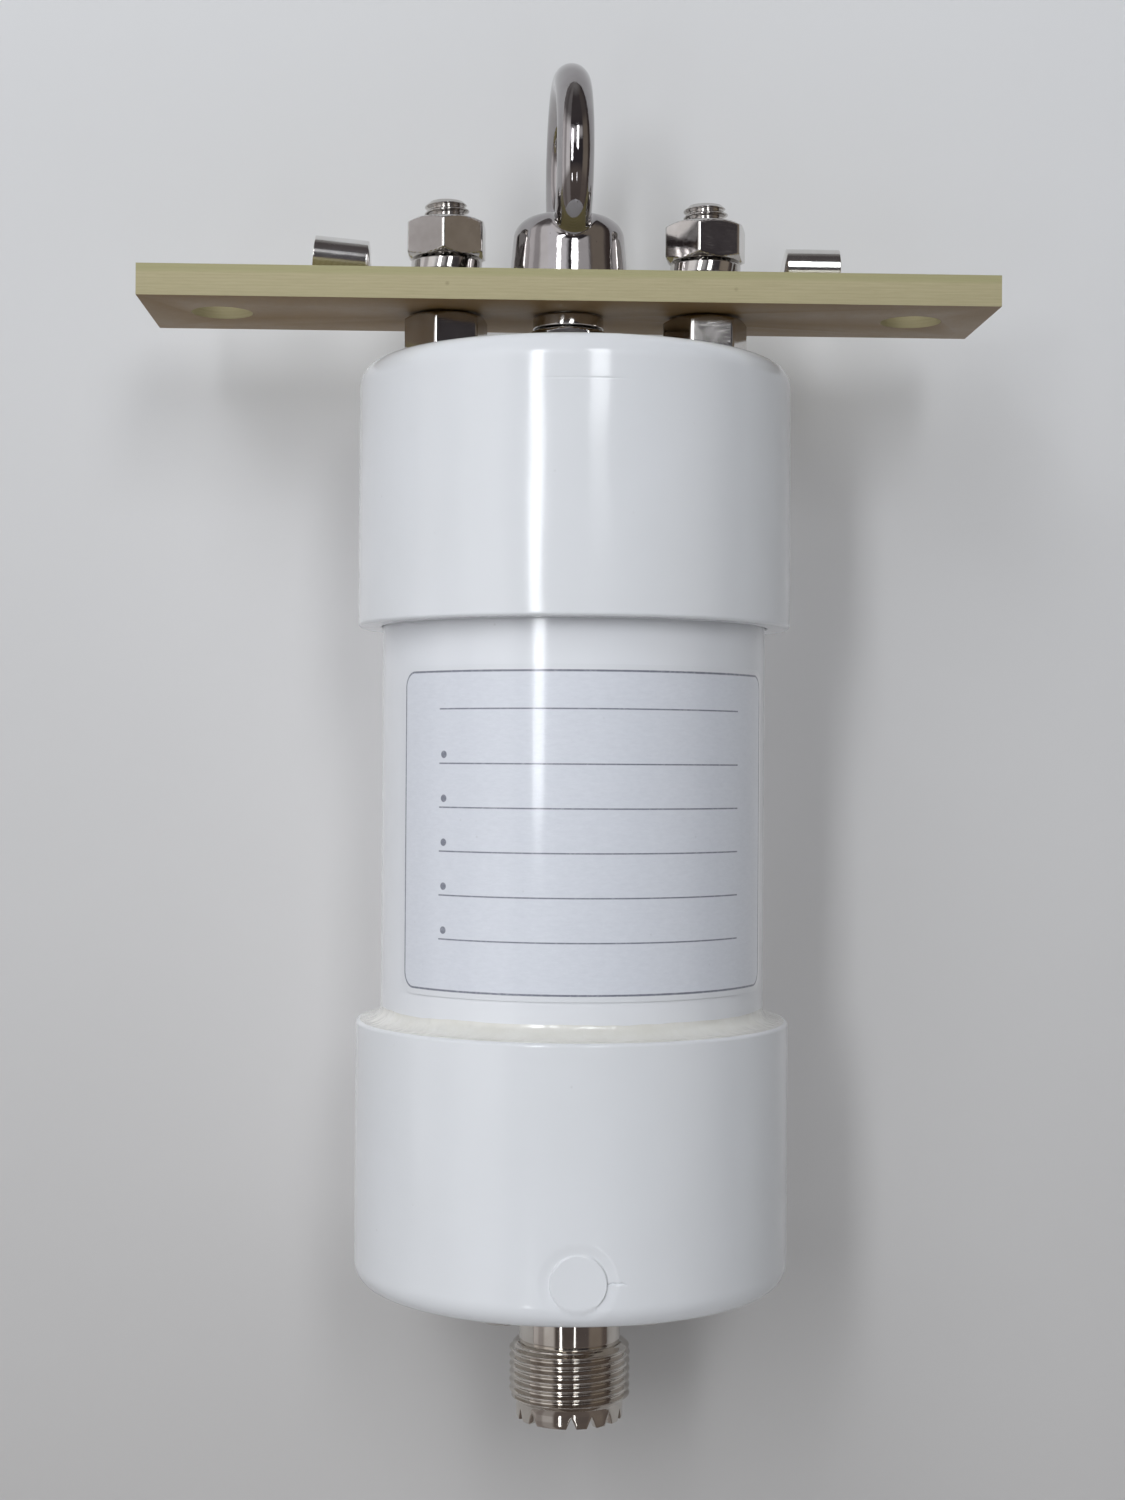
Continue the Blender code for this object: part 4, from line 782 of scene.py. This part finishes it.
def lug_barrel(bend):
    """Sections from the tongue through a steep shoulder to the rolled barrel, round its rim and back down
    the bore. A section is a rounded box that turns into a circle: sine and cosine raised to a power."""
    along = np.concatenate([
        np.linspace(7.4, FLARE_START, 6),
        FLARE_START + FLARE * np.linspace(0.0, 1.0, 19)[1:],
        np.linspace(FLARE_START + FLARE + 0.1, 17.45, 22),
        [17.5, 17.56, 17.6, 17.6, 17.56, 17.5],
        np.linspace(17.3, 11.6, 10),
        [11.4, 11.2]])
    grow = ease((along - FLARE_START) / FLARE)
    width = TONGUE_HALF_WIDTH + (BARREL_RADIUS - TONGUE_HALF_WIDTH) * grow
    height = TONGUE_HALF_HEIGHT + (BARREL_RADIUS - TONGUE_HALF_HEIGHT) * grow
    middle = TONGUE_MIDDLE + (BARREL_RADIUS - TONGUE_MIDDLE) * grow
    bore = len(along) - 16
    width[bore:] = [2.57, 2.5, 2.3, 2.05, 1.85, 1.75] + [1.7] * 8 + [1.68, 0.0]
    height[bore:] = width[bore:]
    middle[bore:] = BARREL_RADIUS
    power = 0.22 + 0.78 * grow
    around = full_turn(96) + 0.5 * math.pi
    cosine, sine = np.cos(around)[None, :], np.sin(around)[None, :]
    across = np.sign(cosine) * np.abs(cosine) ** power[:, None]
    upward = np.sign(sine) * np.abs(sine) ** power[:, None]
    outside = (np.arange(len(along)) < bore + 3)[:, None]
    seam = outside * ease((along[:, None] - FLARE_START - 0.6) / 0.6)
    seam = seam * 0.16 * np.exp(-(cosine / 0.045) ** 2) * (sine > 0)
    reach = 1.0 - seam / BARREL_RADIUS
    points = np.stack([along[:, None] + 0.0 * across, width[:, None] * across * reach,
                       middle[:, None] + height[:, None] * upward * reach], axis=-1)
    tilt = bend * ease((points[..., 0] - 7.2) / 2.0)
    out, up = points[..., 0] - 8.0, points[..., 2].copy()
    points[..., 0] = 8.0 + out * np.cos(tilt) - up * np.sin(tilt)
    points[..., 2] = up * np.cos(tilt) + out * np.sin(tilt)
    return points


def make_lugs():
    """A ring plate with its tongue, and the barrel rising from the tongue."""
    angle = full_turn(240)
    for side, x in TERMINALS.items():
        sign = 1.0 if x > 0 else -1.0
        forward = np.maximum(np.sin(angle) * sign, 1e-3)
        strip = np.minimum(3.5 / np.maximum(np.abs(np.cos(angle)), 1e-3), 9.3 / forward)
        strip = np.where(np.sin(angle) * sign > 0.05, strip, 0.0)
        edge = -soft_least(np.full_like(strip, -6.0), -strip, 4.0)
        plate = plate_grid(angle, edge, BOLT_HOLE, LUG_BASE, 1.0, 0.16, x)
        barrel = lug_barrel(math.radians(5.5) if side == "left" else 0.0)
        barrel = barrel * np.array([sign, sign, 1.0]) + np.array([x, 0.0, LUG_BASE])
        close = np.repeat(barrel[:1].mean(axis=1, keepdims=True), barrel.shape[1], axis=1)
        make_piece("ring_lug_" + side, [(plate, True), (np.concatenate([close, barrel]), False)],
                   TINNED_COPPER, "tinned_copper", ["wire_lug_" + side], 40.0)


# cross bar

BAR_HALF = (55.0, 11.0)
BAR_HOLES = ((-45.35, 4.0), (45.35, 4.0), (TERMINALS["left"], BOLT_HOLE), (TERMINALS["right"], BOLT_HOLE),
             (0.0, BOLT_HOLE))


def make_bar():
    """A plate cut by five turned plugs, all its edges eased by a bevel."""
    loop = np.array([[-1, -1], [1, -1], [1, 1], [-1, 1]]) * np.array(BAR_HALF)
    rows = [(loop * 0.0, BAR_TOP), (loop, BAR_TOP), (loop, BAR_BOTTOM), (loop * 0.0, BAR_BOTTOM)]
    grid = np.stack([np.concatenate([spots, np.full((4, 1), level)], axis=1) for spots, level in rows])
    bar = make_piece("laminate_bar", [(grid, False)], LAMINATE, "glass_epoxy", ["cross_bar"], 30.0)
    cuts = []
    for x, radius in BAR_HOLES:
        plug = [(0.0, -10.0, 0.0), (radius, -10.0, 0.0), (radius, -26.0, 0.0), (0.0, -26.0, 0.0)]
        cuts.append((turned(plug, 96, x), False))
    plugs = add_object("bar_plugs", grid_mesh("bar_plugs", cuts))
    cut = bar.modifiers.new("Holes", "BOOLEAN")
    cut.operation = "DIFFERENCE"
    cut.solver = "EXACT"
    cut.object = plugs
    edge = bar.modifiers.new("Edges", "BEVEL")
    edge.width = 0.0003
    edge.segments = 3
    edge.limit_method = "ANGLE"
    edge.angle_limit = math.radians(40.0)
    graph = bpy.context.evaluated_depsgraph_get()
    done = bpy.data.meshes.new_from_object(bar.evaluated_get(graph))
    bar.modifiers.clear()
    bar.data = done
    done.shade_smooth()
    done.set_sharp_from_angle(angle=math.radians(30.0))
    bpy.data.objects.remove(plugs, do_unlink=True)


# housing

WITNESS_LEVEL = -32.7
WITNESS_TURNS = (math.radians(-14.0), math.radians(12.5))


def with_wall(corners, low, high, step, steps):
    """A cup's profile with extra points up its outer wall, where fine relief needs them."""
    line = rounded(corners, steps)
    wall = np.arange(low, high, step)
    wall = np.stack([np.full_like(wall, CAP_RADIUS), wall], axis=1)
    outer = np.flatnonzero(np.abs(line[:, 0] - CAP_RADIUS) < 1e-6)
    rising = line[outer[-1], 1] > line[outer[0], 1]
    before = outer[(line[outer, 1] < low) == rising]
    cut = before[-1] + 1
    return np.concatenate([line[:cut], wall if rising else wall[::-1], line[cut:]])


def cup_corners(hole, end, rim):
    """A cup's section round a middle hole, from its closed end to its rim and back along the bore."""
    inside = end + math.copysign(CAP_END, rim - end)
    return [(hole, end, 0.0), (CAP_RADIUS, end, 3.0), (CAP_RADIUS, rim, 0.45), (CAP_BORE, rim, 0.3),
            (CAP_BORE, inside, 0.4), (hole, inside, 0.0)]


def make_top_cap():
    """A turned cup, open downwards, with round edges, an eased rim and a short mould line across its front,
    a shallow bell of the height that fades out at both ends."""
    line = with_wall(cup_corners(0.0, CAP_TOP, TOP_RIM), WITNESS_LEVEL - 0.6, WITNESS_LEVEL + 0.6, 0.06, 10)
    radius, level = line[:, :1], line[:, 1:]
    angle = np.linspace(-math.pi, math.pi, 288, endpoint=False)[None, :]
    first, last = WITNESS_TURNS
    along = ease((angle - first) / 0.12) * ease((last - angle) / 0.12)
    groove = -0.03 * np.exp(-((level - WITNESS_LEVEL) / 0.09) ** 2) * along * (radius > 28.0)
    make_piece("upper_cap", [(round_axis(radius + groove, level, angle), False)], CAP_WHITE,
               "white_plastic", ["top_cap"])


def make_tube():
    """A turned pipe with eased ends."""
    pipe = [(TUBE_RADIUS, -30.2, 0.4), (TUBE_RADIUS, -143.0, 0.4), (23.0, -143.0, 0.2), (23.0, -30.2, 0.2)]
    make_piece("pipe", [(turned(pipe, 256), True)], TUBE_WHITE, "white_plastic", ["body_tube"])


GATE_ANGLE = math.radians(-0.4)
GATE_LEVEL = -140.7
GATE_RADIUS = 3.55


def gate_relief(angle, level):
    """Relief round the moulding gate on the lower cap. Inside a circle the wall is flat, so its radius is
    the cap's over the cosine of the turn. A shallow moat runs round it, and a short crack leaves it to the
    right, a bell of the height over its line."""
    turn = angle - GATE_ANGLE
    side = CAP_RADIUS * turn
    rise = level - GATE_LEVEL
    far = np.hypot(side, rise)
    inside = ease((GATE_RADIUS - far) / 0.2)
    land = (CAP_RADIUS - 0.03) / np.cos(np.clip(turn, -0.3, 0.3)) - CAP_RADIUS
    moat = -0.16 * (1.0 - inside) * ease((GATE_RADIUS + 1.5 - far) / 1.5)
    wander = 0.12 * np.sin(1.7 * side) + 0.05 * np.sin(5.0 * side)
    crack = -0.25 * np.exp(-((rise + 0.1 - wander) / 0.11) ** 2)
    crack = crack * ease((side - 3.3) / 0.3) * ease((6.2 - side) / 1.2)
    return inside * land + moat + crack


def make_bottom_cap():
    """A turned cup, open upwards, round the socket's hole, on a grid that is finer round the gate mark."""
    line = with_wall(cup_corners(6.2, CAP_BOTTOM, BOTTOM_RIM), -143.1, -134.6, 0.08, 14)
    radius, level = line[:, :1], line[:, 1:]
    local = GATE_ANGLE + np.radians(np.linspace(-15.0, 15.0, 190))
    angle = np.concatenate([local, np.linspace(local[-1], local[0] + TURN, 180)[1:-1]])
    turn = np.mod(angle + math.pi, TURN) - math.pi
    skin = (radius > 26.0) & (level < -130.0)
    radius = radius + np.where(skin, gate_relief(turn, level), 0.0)
    make_piece("lower_cap", [(round_axis(radius, level, angle), True)], CAP_WHITE, "white_plastic",
               ["bottom_cap"])


def make_cement():
    """A fillet of cement round the lower rim: its height, swell and foot wander with the angle."""
    angle = full_turn(900)[None, :]
    slow, quick, tiny = (rolling(angle, seed, low, high, 14) for seed, low, high in
                         ((3, 2, 14), (5, 18, 60), (9, 60, 150)))
    height = 1.8 + 0.3 * slow + 0.1 * quick
    spread = 2.7 + 0.15 * slow - 0.1 * quick
    share = np.linspace(0.0, 1.0, 22)[:, None]
    bend = 0.5 * math.pi * share
    radius = 25.03 + spread * (1.0 - np.cos(bend))
    swell = 0.12 * np.sin(math.pi * share) * (0.6 + 0.4 * quick + 0.2 * tiny)
    level = -112.06 + height * (1.0 - np.sin(bend)) + swell
    rows = [(24.9, -112.3), (24.9, -112.06 + height), (radius, level), (radius[-1:] - 0.02, -112.3)]
    make_piece("cement_fillet", [(lathe(rows, angle), True)], CEMENT, "clear_cement", ["cement_bead"], 70.0)


def make_label():
    """A sheet wrapped round the tube with round corners: columns across it run from the lower to the upper
    edge on the outside and back on the inside, and a last column at each side closes it."""
    flat = 0.5 * LABEL_WIDTH - LABEL_CORNER
    bulge = LABEL_CORNER * np.sin(0.5 * math.pi * np.linspace(0.0, 1.0, 13)[1:])
    across = np.concatenate([-flat - bulge[::-1], np.linspace(-flat, flat, 120), flat + bulge])
    past = np.maximum(np.abs(across) - flat, 0.0)
    fall = np.sqrt(np.maximum(LABEL_CORNER ** 2 - past ** 2, 0.0))
    reach = 0.5 * LABEL_HEIGHT - LABEL_CORNER + fall
    share = np.linspace(-1.0, 1.0, 30)
    share = np.concatenate([share, share[::-1]])
    lift = np.concatenate([np.full(30, 0.17), np.full(30, 0.03)])
    radius = TUBE_RADIUS + lift[None, :] + 0.0 * across[:, None]
    up = share[None, :] * reach[:, None]
    side = across[:, None] + 0.0 * up
    middle = np.full_like(radius[:1], radius[0].mean())
    radius = np.concatenate([middle, radius, middle])
    up = np.concatenate([up[:1], up, up[-1:]])
    side = np.concatenate([side[:1], side, side[-1:]])
    grid = round_axis(radius, LABEL_LEVEL + up, LABEL_TURN + side / LABEL_BEND)
    places = np.stack([0.5 + side / LABEL_WIDTH, 0.5 + up / LABEL_HEIGHT], axis=-1)
    make_piece("paper_label", [(grid, False)], LABEL_PAPER, "label_paper", ["label"], 60.0, places)


# coaxial socket

CROWN_PLACES = 16
CROWN_BLANK = 15
CROWN_RADIUS = 7.0
CROWN_BITE = 1.5
THREAD_TOP = -154.2
THREAD_END = -161.9
THREAD_RADIUS = 7.9
THREAD_PITCH = 1.058
SHELL_BORE = 5.85
FLANGE_HALF = 12.7
SLOT = 0.25


def crown_bite(angle):
    """How far a V notch bites into the crown's edge: evenly spaced places round it, one left blank."""
    step = TURN / CROWN_PLACES
    place = angle / step
    near = np.round(place)
    away = np.abs(place - near) * step * CROWN_RADIUS
    bite = CROWN_BITE * np.clip(1.0 - away / 0.65, 0.0, 1.0)
    return np.where(np.mod(near, CROWN_PLACES) == CROWN_BLANK, 0.0, bite)


def make_socket():
    """The turned shell: spigot, neck, helical thread, toothed crown and bore, and the square flange."""
    angle = full_turn(320)[None, :]
    level = np.arange(THREAD_TOP, THREAD_END - 0.001, -0.036)[:, None]
    thread = THREAD_RADIUS - 0.62 * thread_depth(level, angle, THREAD_PITCH)
    ends = np.minimum(THREAD_TOP - level, level - THREAD_END)
    thread = soft_least(thread, 7.0 + 1.3 * np.maximum(ends, 0.0), 14.0)
    fall = np.array([0.0, 0.3, 0.6, 0.85, 0.93, 1.0])[:, None]
    outer_edge = np.array([7.0, 7.0, 7.0, 7.0, 6.98, 6.9])[:, None]
    bite = crown_bite(angle)
    crown_level = -161.95 + (MOUTH + bite + 161.95) * fall
    inner_edge = np.array([5.98, 5.88, SHELL_BORE])[:, None]
    inner_level = (MOUTH + bite) + np.array([0.0, 0.06, 0.2])[:, None] * (1.0 - bite / 1.6)
    rows = [(6.625, -147.4), (6.625, -147.5), (6.625, -153.7), (6.625, -153.85), (6.56, -153.98),
            (6.56, -154.15), (thread, level), (outer_edge, crown_level), (inner_edge, inner_level),
            (SHELL_BORE, -160.8), (SHELL_BORE, -148.0), (5.2, -148.0), (5.2, -142.6), (5.9, -142.6),
            (6.0, -142.7), (6.0, -147.4)]
    shell = lathe(rows, angle)
    turn = full_turn(256)
    sides = np.stack([np.abs(np.cos(turn)), np.abs(np.sin(turn))], axis=-1)
    edge = FLANGE_HALF / (np.log(np.exp(34.0 * (sides - 1.0)).sum(axis=-1)) / 34.0 + 1.0)
    flange = plate_grid(turn, edge, 6.3, FLANGE_BOTTOM, 1.6, 0.2, TUBE_X)
    make_piece("socket_body", [(shell, True), (flange, True)], NICKEL, "nickel_plate",
               ["socket_shell"], 40.0)
    core = [(5.0, -142.0, 0.1), (5.0, -148.4, 0.0), (5.65, -148.4, 0.0), (5.65, -162.3, 0.25),
            (3.3, -162.3, 0.0), (3.3, -161.9, 0.1), (2.8, -161.9, 0.1), (2.8, -142.0, 0.1)]
    make_piece("insulator_bush", [(turned(core, 128), True)], INSULATOR, "white_insulator",
               ["socket_insulator"])
    rear = [(0.0, -140.1, 0.0), (1.0, -140.1, 0.0), (1.0, -136.1, 0.1), (2.0, -136.1, 0.15),
            (2.0, -142.0, 0.0), (2.6, -142.0, 0.1), (2.6, -155.8, 0.0), (2.0, -155.8, 0.0),
            (2.0, -149.8, 0.0), (0.0, -148.8, 0.0)]
    grids = [(turned(rear, 96), False)]
    section = rounded([(2.0, -155.7, 0.0), (2.6, -155.7, 0.0), (2.6, -161.8, 0.2), (2.0, -161.8, 0.25)], 4)
    middle = section.mean(axis=0)
    radius, level = section[None, :, 0], section[None, :, 1]
    gap = SLOT / 2.3
    for quarter in range(4):
        start = 0.25 * math.pi + quarter * 0.25 * TURN
        share = np.linspace(gap, 0.25 * TURN - gap, 20)[:, None] + start
        body = round_axis(radius, level, share)
        close = [round_axis(np.full_like(radius, middle[0]), np.full_like(level, middle[1]), end)
                 for end in (share[0], share[-1])]
        grids.append((np.concatenate([close[0], body, close[1]]), False))
    make_piece("centre_contact", grids, NICKEL, "nickel_plate", ["socket_contact"])


SCREW_SEAT = -148.4
SCREW_SPACING = 9.15


def make_screws():
    """Pan heads with a cross recess: height over the head is a dome less the recess, which is deep where a
    point lies inside either arm of the cross."""
    angle = full_turn(96)[None, :]
    out = np.linspace(0.0, 1.0, 46)[:, None]
    radius = 2.75 * out
    dome = 1.6 * (1.0 - 0.42 * out ** 4) * np.sqrt(np.clip(1.0 - out ** 14, 0.0, 1.0))
    for number, (x, y) in enumerate(((1, -1), (1, 1), (-1, 1), (-1, -1)), 1):
        cross, up = radius * np.cos(angle + 0.4 * number), radius * np.sin(angle + 0.4 * number)
        arms = [ease((0.42 - np.abs(one)) / 0.12) * ease((1.5 - np.abs(other)) / 0.3)
                for one, other in ((cross, up), (up, cross))]
        depth = np.maximum(*arms) * (1.05 - 0.35 * radius)
        head = SCREW_SEAT - np.maximum(dome - depth, 0.0)
        tip = -138.6 if number == 3 else -139.6
        rows = [(radius, head), (1.45, SCREW_SEAT), (1.45, tip - 0.3), (1.2, tip), (0.0, tip)]
        grid = lathe(rows, angle, TUBE_X + SCREW_SPACING * x, SCREW_SPACING * y)
        make_piece("cross_screw_%d" % number, [(grid, False)], PLATED_STEEL, "plated_steel",
                   ["flange_screw_%d" % number], 40.0)


# carried-over nodes

def dress_nodes():
    """The nodes inside the closed housing keep their shape and get the finish of their kind."""
    finishes = {"centre_bolt": PLATED_STEEL, "ferrite_core": FERRITE, "primary_winding": RED_ENAMEL,
                "secondary_winding": GREEN_ENAMEL, "ground_tag": TINNED_COPPER,
                "terminal_tag_left": TINNED_COPPER, "terminal_tag_right": TINNED_COPPER}
    finishes.update({"flange_nut_%d" % number: PLATED_STEEL for number in (1, 2, 3, 4)})
    for name, finish in finishes.items():
        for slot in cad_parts[name].material_slots:
            slot.material = finish


# stage, lights and camera

def stage_plane(name, corners, finish):
    """A flat backdrop or floor from its four corners, in millimetres."""
    mesh = bpy.data.meshes.new(name)
    mesh.from_pydata((np.array(corners, dtype=float) * MM).tolist(), [], [(0, 1, 2, 3)])
    mesh.materials.append(finish)
    plane = add_object(name, mesh)
    return plane


def table_finish(name, colour, shade, lit):
    """Matt pale board, faintly uneven, with painted shade that darkens it downwards, seen through from
    behind and by the lamps.
    A share of it may be plain to the camera, so that a far floor stays pale."""
    material, tree, shader, place = start_finish(name, 0.6)
    clouds = calc(tree, "MULTIPLY", noise(tree, place, 6.0, 3.0, 0.5), 0.3)
    # painted shade: the board's colour darkens downwards, standing in for light that falls off lower down
    down = between(tree, parted(tree, place)[2], 0.04, -0.22, 0.0, 0.7)
    base = mixed(tree, calc(tree, "ADD", clouds, down), colour, shade)
    feed(tree, base, shader.inputs["Base Color"])
    rays = tree.nodes.new("ShaderNodeLightPath").outputs
    plain = tree.nodes.new("ShaderNodeEmission")
    feed(tree, BACKGROUND, plain.inputs["Color"])
    share = calc(tree, "MULTIPLY", rays["Is Camera Ray"], lit)
    shown = blended(tree, share, shader.outputs[0], plain.outputs[0])
    clear = tree.nodes.new("ShaderNodeBsdfTransparent").outputs[0]
    behind = tree.nodes.new("ShaderNodeNewGeometry").outputs["Backfacing"]
    whole = blended(tree, calc(tree, "MAXIMUM", behind, rays["Is Shadow Ray"]), shown, clear)
    feed(tree, whole, tree.nodes["Material Output"].inputs["Surface"])
    return material


def lamp(name, place, aim, size, power, colour=(1.0, 1.0, 1.0)):
    """A rectangular lamp at a place, turned to a point, in metres and watts."""
    data = bpy.data.lights.new(name, "AREA")
    data.shape = "RECTANGLE"
    data.size, data.size_y = size
    data.energy = power
    data.color = colour
    item = add_object(name, data)
    item.location = place
    item.rotation_euler = (Vector(aim) - Vector(place)).to_track_quat("-Z", "Y").to_euler()
    return item


def window(tree, value, low, high, soft):
    """1 between two limits, eased to 0 beyond each over a soft width."""
    start = between(tree, value, low - 0.5 * soft, low + 0.5 * soft, 0.0, 1.0)
    stop = between(tree, value, high - 0.5 * soft, high + 0.5 * soft, 1.0, 0.0)
    return calc(tree, "MULTIPLY", start, stop)


WALLS = ((-112.0, -74.0, 9.0, (0.85, 0.83, 0.84)), (-78.0, -65.0, 6.0, (0.54, 0.52, 0.53)),
         (-64.0, -37.0, 7.0, (1.0, 0.99, 1.0)), (-35.0, 42.0, 4.0, (0.05, 0.045, 0.05)),
         (44.0, 76.0, 6.0, (0.25, 0.215, 0.18)), (78.0, 106.0, 10.0, (0.07, 0.055, 0.05)))
LAYERS = ((-18.0, -8.0, 0.8, 0.0, (0.15, 0.125, 0.115)), (26.0, 42.0, 0.0, 0.85, (0.08, 0.07, 0.072)),
          (68.0, 84.0, 0.0, 1.0, (0.25, 0.245, 0.245)))
PANES = ((-45.0, -4.0, 13.0, (1.0, 1.0, 1.04)), (10.0, 40.0, 17.5, (0.62, 0.61, 0.62)))


def make_room():
    """The room beyond the stage: plain and pale to the camera, and to matt surfaces a soft light from the
    front. What shines sees more of it: a dim middle, where the camera stands, pale walls on the left, brown
    ones on the right and bright panes high up in front. A wall is given by its turn from the front and how
    soft its edges are, a layer by its rise and its share at both limits, a pane by its turn and its lower
    edge, all in degrees."""
    world = bpy.data.worlds.new("room")
    world.use_nodes = True
    tree = world.node_tree
    ray = tree.nodes.new("ShaderNodeTexCoord").outputs["Generated"]
    way = parted(tree, ray)
    turn = calc(tree, "DEGREES", calc(tree, "ARCTAN2", way[0], calc(tree, "MULTIPLY", way[1], -1.0)))
    rise = calc(tree, "DEGREES", calc(tree, "ARCSINE", way[2]))
    front = window(tree, turn, -125.0, 125.0, 24.0)
    room = mixed(tree, front, (0.50, 0.50, 0.50), (0.16, 0.14, 0.13))
    for low, high, soft, colour in WALLS:
        room = mixed(tree, window(tree, turn, low, high, soft), room, colour)
    for low, high, first, last, colour in LAYERS:
        room = mixed(tree, between(tree, rise, low, high, first, last), room, colour)
    for low, high, base, colour in PANES:
        tall = window(tree, rise, base, 28.0, 5.0)
        pane = calc(tree, "MULTIPLY", window(tree, turn, low, high, 7.0), tall)
        room = mixed(tree, pane, room, colour)
    rays = tree.nodes.new("ShaderNodeLightPath").outputs
    plain = calc(tree, "MAXIMUM", rays["Is Camera Ray"], rays["Is Transmission Ray"])
    toward = tree.nodes.new("ShaderNodeVectorMath")
    toward.operation = "DOT_PRODUCT"
    feed(tree, ray, toward.inputs[0])
    feed(tree, SKY_WAY, toward.inputs[1])
    sky = between(tree, toward.outputs["Value"], 0.4, 1.0, 0.0, 1.0)
    soft = mixed(tree, sky, (0.025, 0.025, 0.025), (0.46, 0.465, 0.48))
    light = mixed(tree, plain, soft, BACKGROUND)
    feed(tree, mixed(tree, rays["Is Glossy Ray"], light, room), tree.nodes["Background"].inputs["Color"])
    bpy.context.scene.world = world


def make_stage():
    """The board that the part lies against, a floor well below it, and the lamps."""
    # The board's second colour is painted shade for its lower part
    board = table_finish("pale_board", (0.80, 0.80, 0.81), (0.49, 0.47, 0.455), 0.0)
    stage_plane("board", [(-900, BOARD, FLOOR), (900, BOARD, FLOOR), (900, BOARD, 800), (-900, BOARD, 800)],
                board)
    pale = table_finish("pale_floor", (0.64, 0.64, 0.64), (0.62, 0.62, 0.62), 0.9)
    corners = [(-1500, -1500, FLOOR), (1500, -1500, FLOOR), (1500, 1500, FLOOR), (-1500, 1500, FLOOR)]
    floor = stage_plane("floor", corners, pale)
    floor.visible_glossy = False
    middle = (0.0, 0.0, -0.08)
    cool = (0.94, 0.97, 1.0)
    lamp("left_strip", (-0.38, -0.93, 0.167), middle, (0.12, 0.566), 2.6, cool)
    lamp("left_strip_low", (-0.38, -0.93, -0.47), middle, (0.07, 0.18), 0.18, cool)
    lamp("right_strip", (0.178, -0.98, 0.31), middle, (0.19, 0.45), 2.1, cool)
    lamp("right_strip_low", (0.16, -0.98, -0.47), middle, (0.05, 0.20), 0.1, cool)
    soft = lamp("soft_above", (-0.40, -0.68, 0.64), middle, (0.5, 0.5), 2.7, cool)
    soft.visible_glossy = False
    lamp("back_left", (-0.38, 1.15, 0.35), middle, (0.8, 0.8), 6.0)
    lamp("back_right", (0.38, 1.15, -0.05), middle, (0.8, 0.8), 5.0)


# The camera's pivot and its place from there, in metres; its turn, tilt and roll, in degrees
PIVOT = (TUBE_X * MM, 0.0, -0.0788)
STANDOFF = (-0.001411, -0.2964, 0.0)
CAMERA_TURN = -2.206
CAMERA_TILT = 0.357
CAMERA_ROLL = 0.361


def make_camera():
    """The photograph's point of view: beside the tube's axis, level with the label, a little turned and
    rolled."""
    data = bpy.data.cameras.new("camera")
    data.lens = 54.07
    data.sensor_width = 36.0
    data.clip_start = 0.01
    turn = Matrix.Rotation(math.radians(CAMERA_TURN), 4, "Z")
    place = Vector(PIVOT) + turn @ Vector(STANDOFF)
    level = Matrix.Rotation(math.radians(90.0 + CAMERA_TILT), 4, "X")
    roll = Matrix.Rotation(math.radians(CAMERA_ROLL), 4, "Z")
    camera = add_object("camera", data)
    camera.matrix_world = Matrix.Translation(place) @ turn @ level @ roll
    bpy.context.scene.camera = camera


make_camera()
make_room()
make_stage()
make_eye_nut()
make_fixings()
make_lugs()
make_bar()
make_top_cap()
make_tube()
make_bottom_cap()
make_cement()
make_label()
make_socket()
make_screws()
dress_nodes()

bpy.context.scene.view_settings.view_transform = "Standard"
bpy.context.view_layer.update()
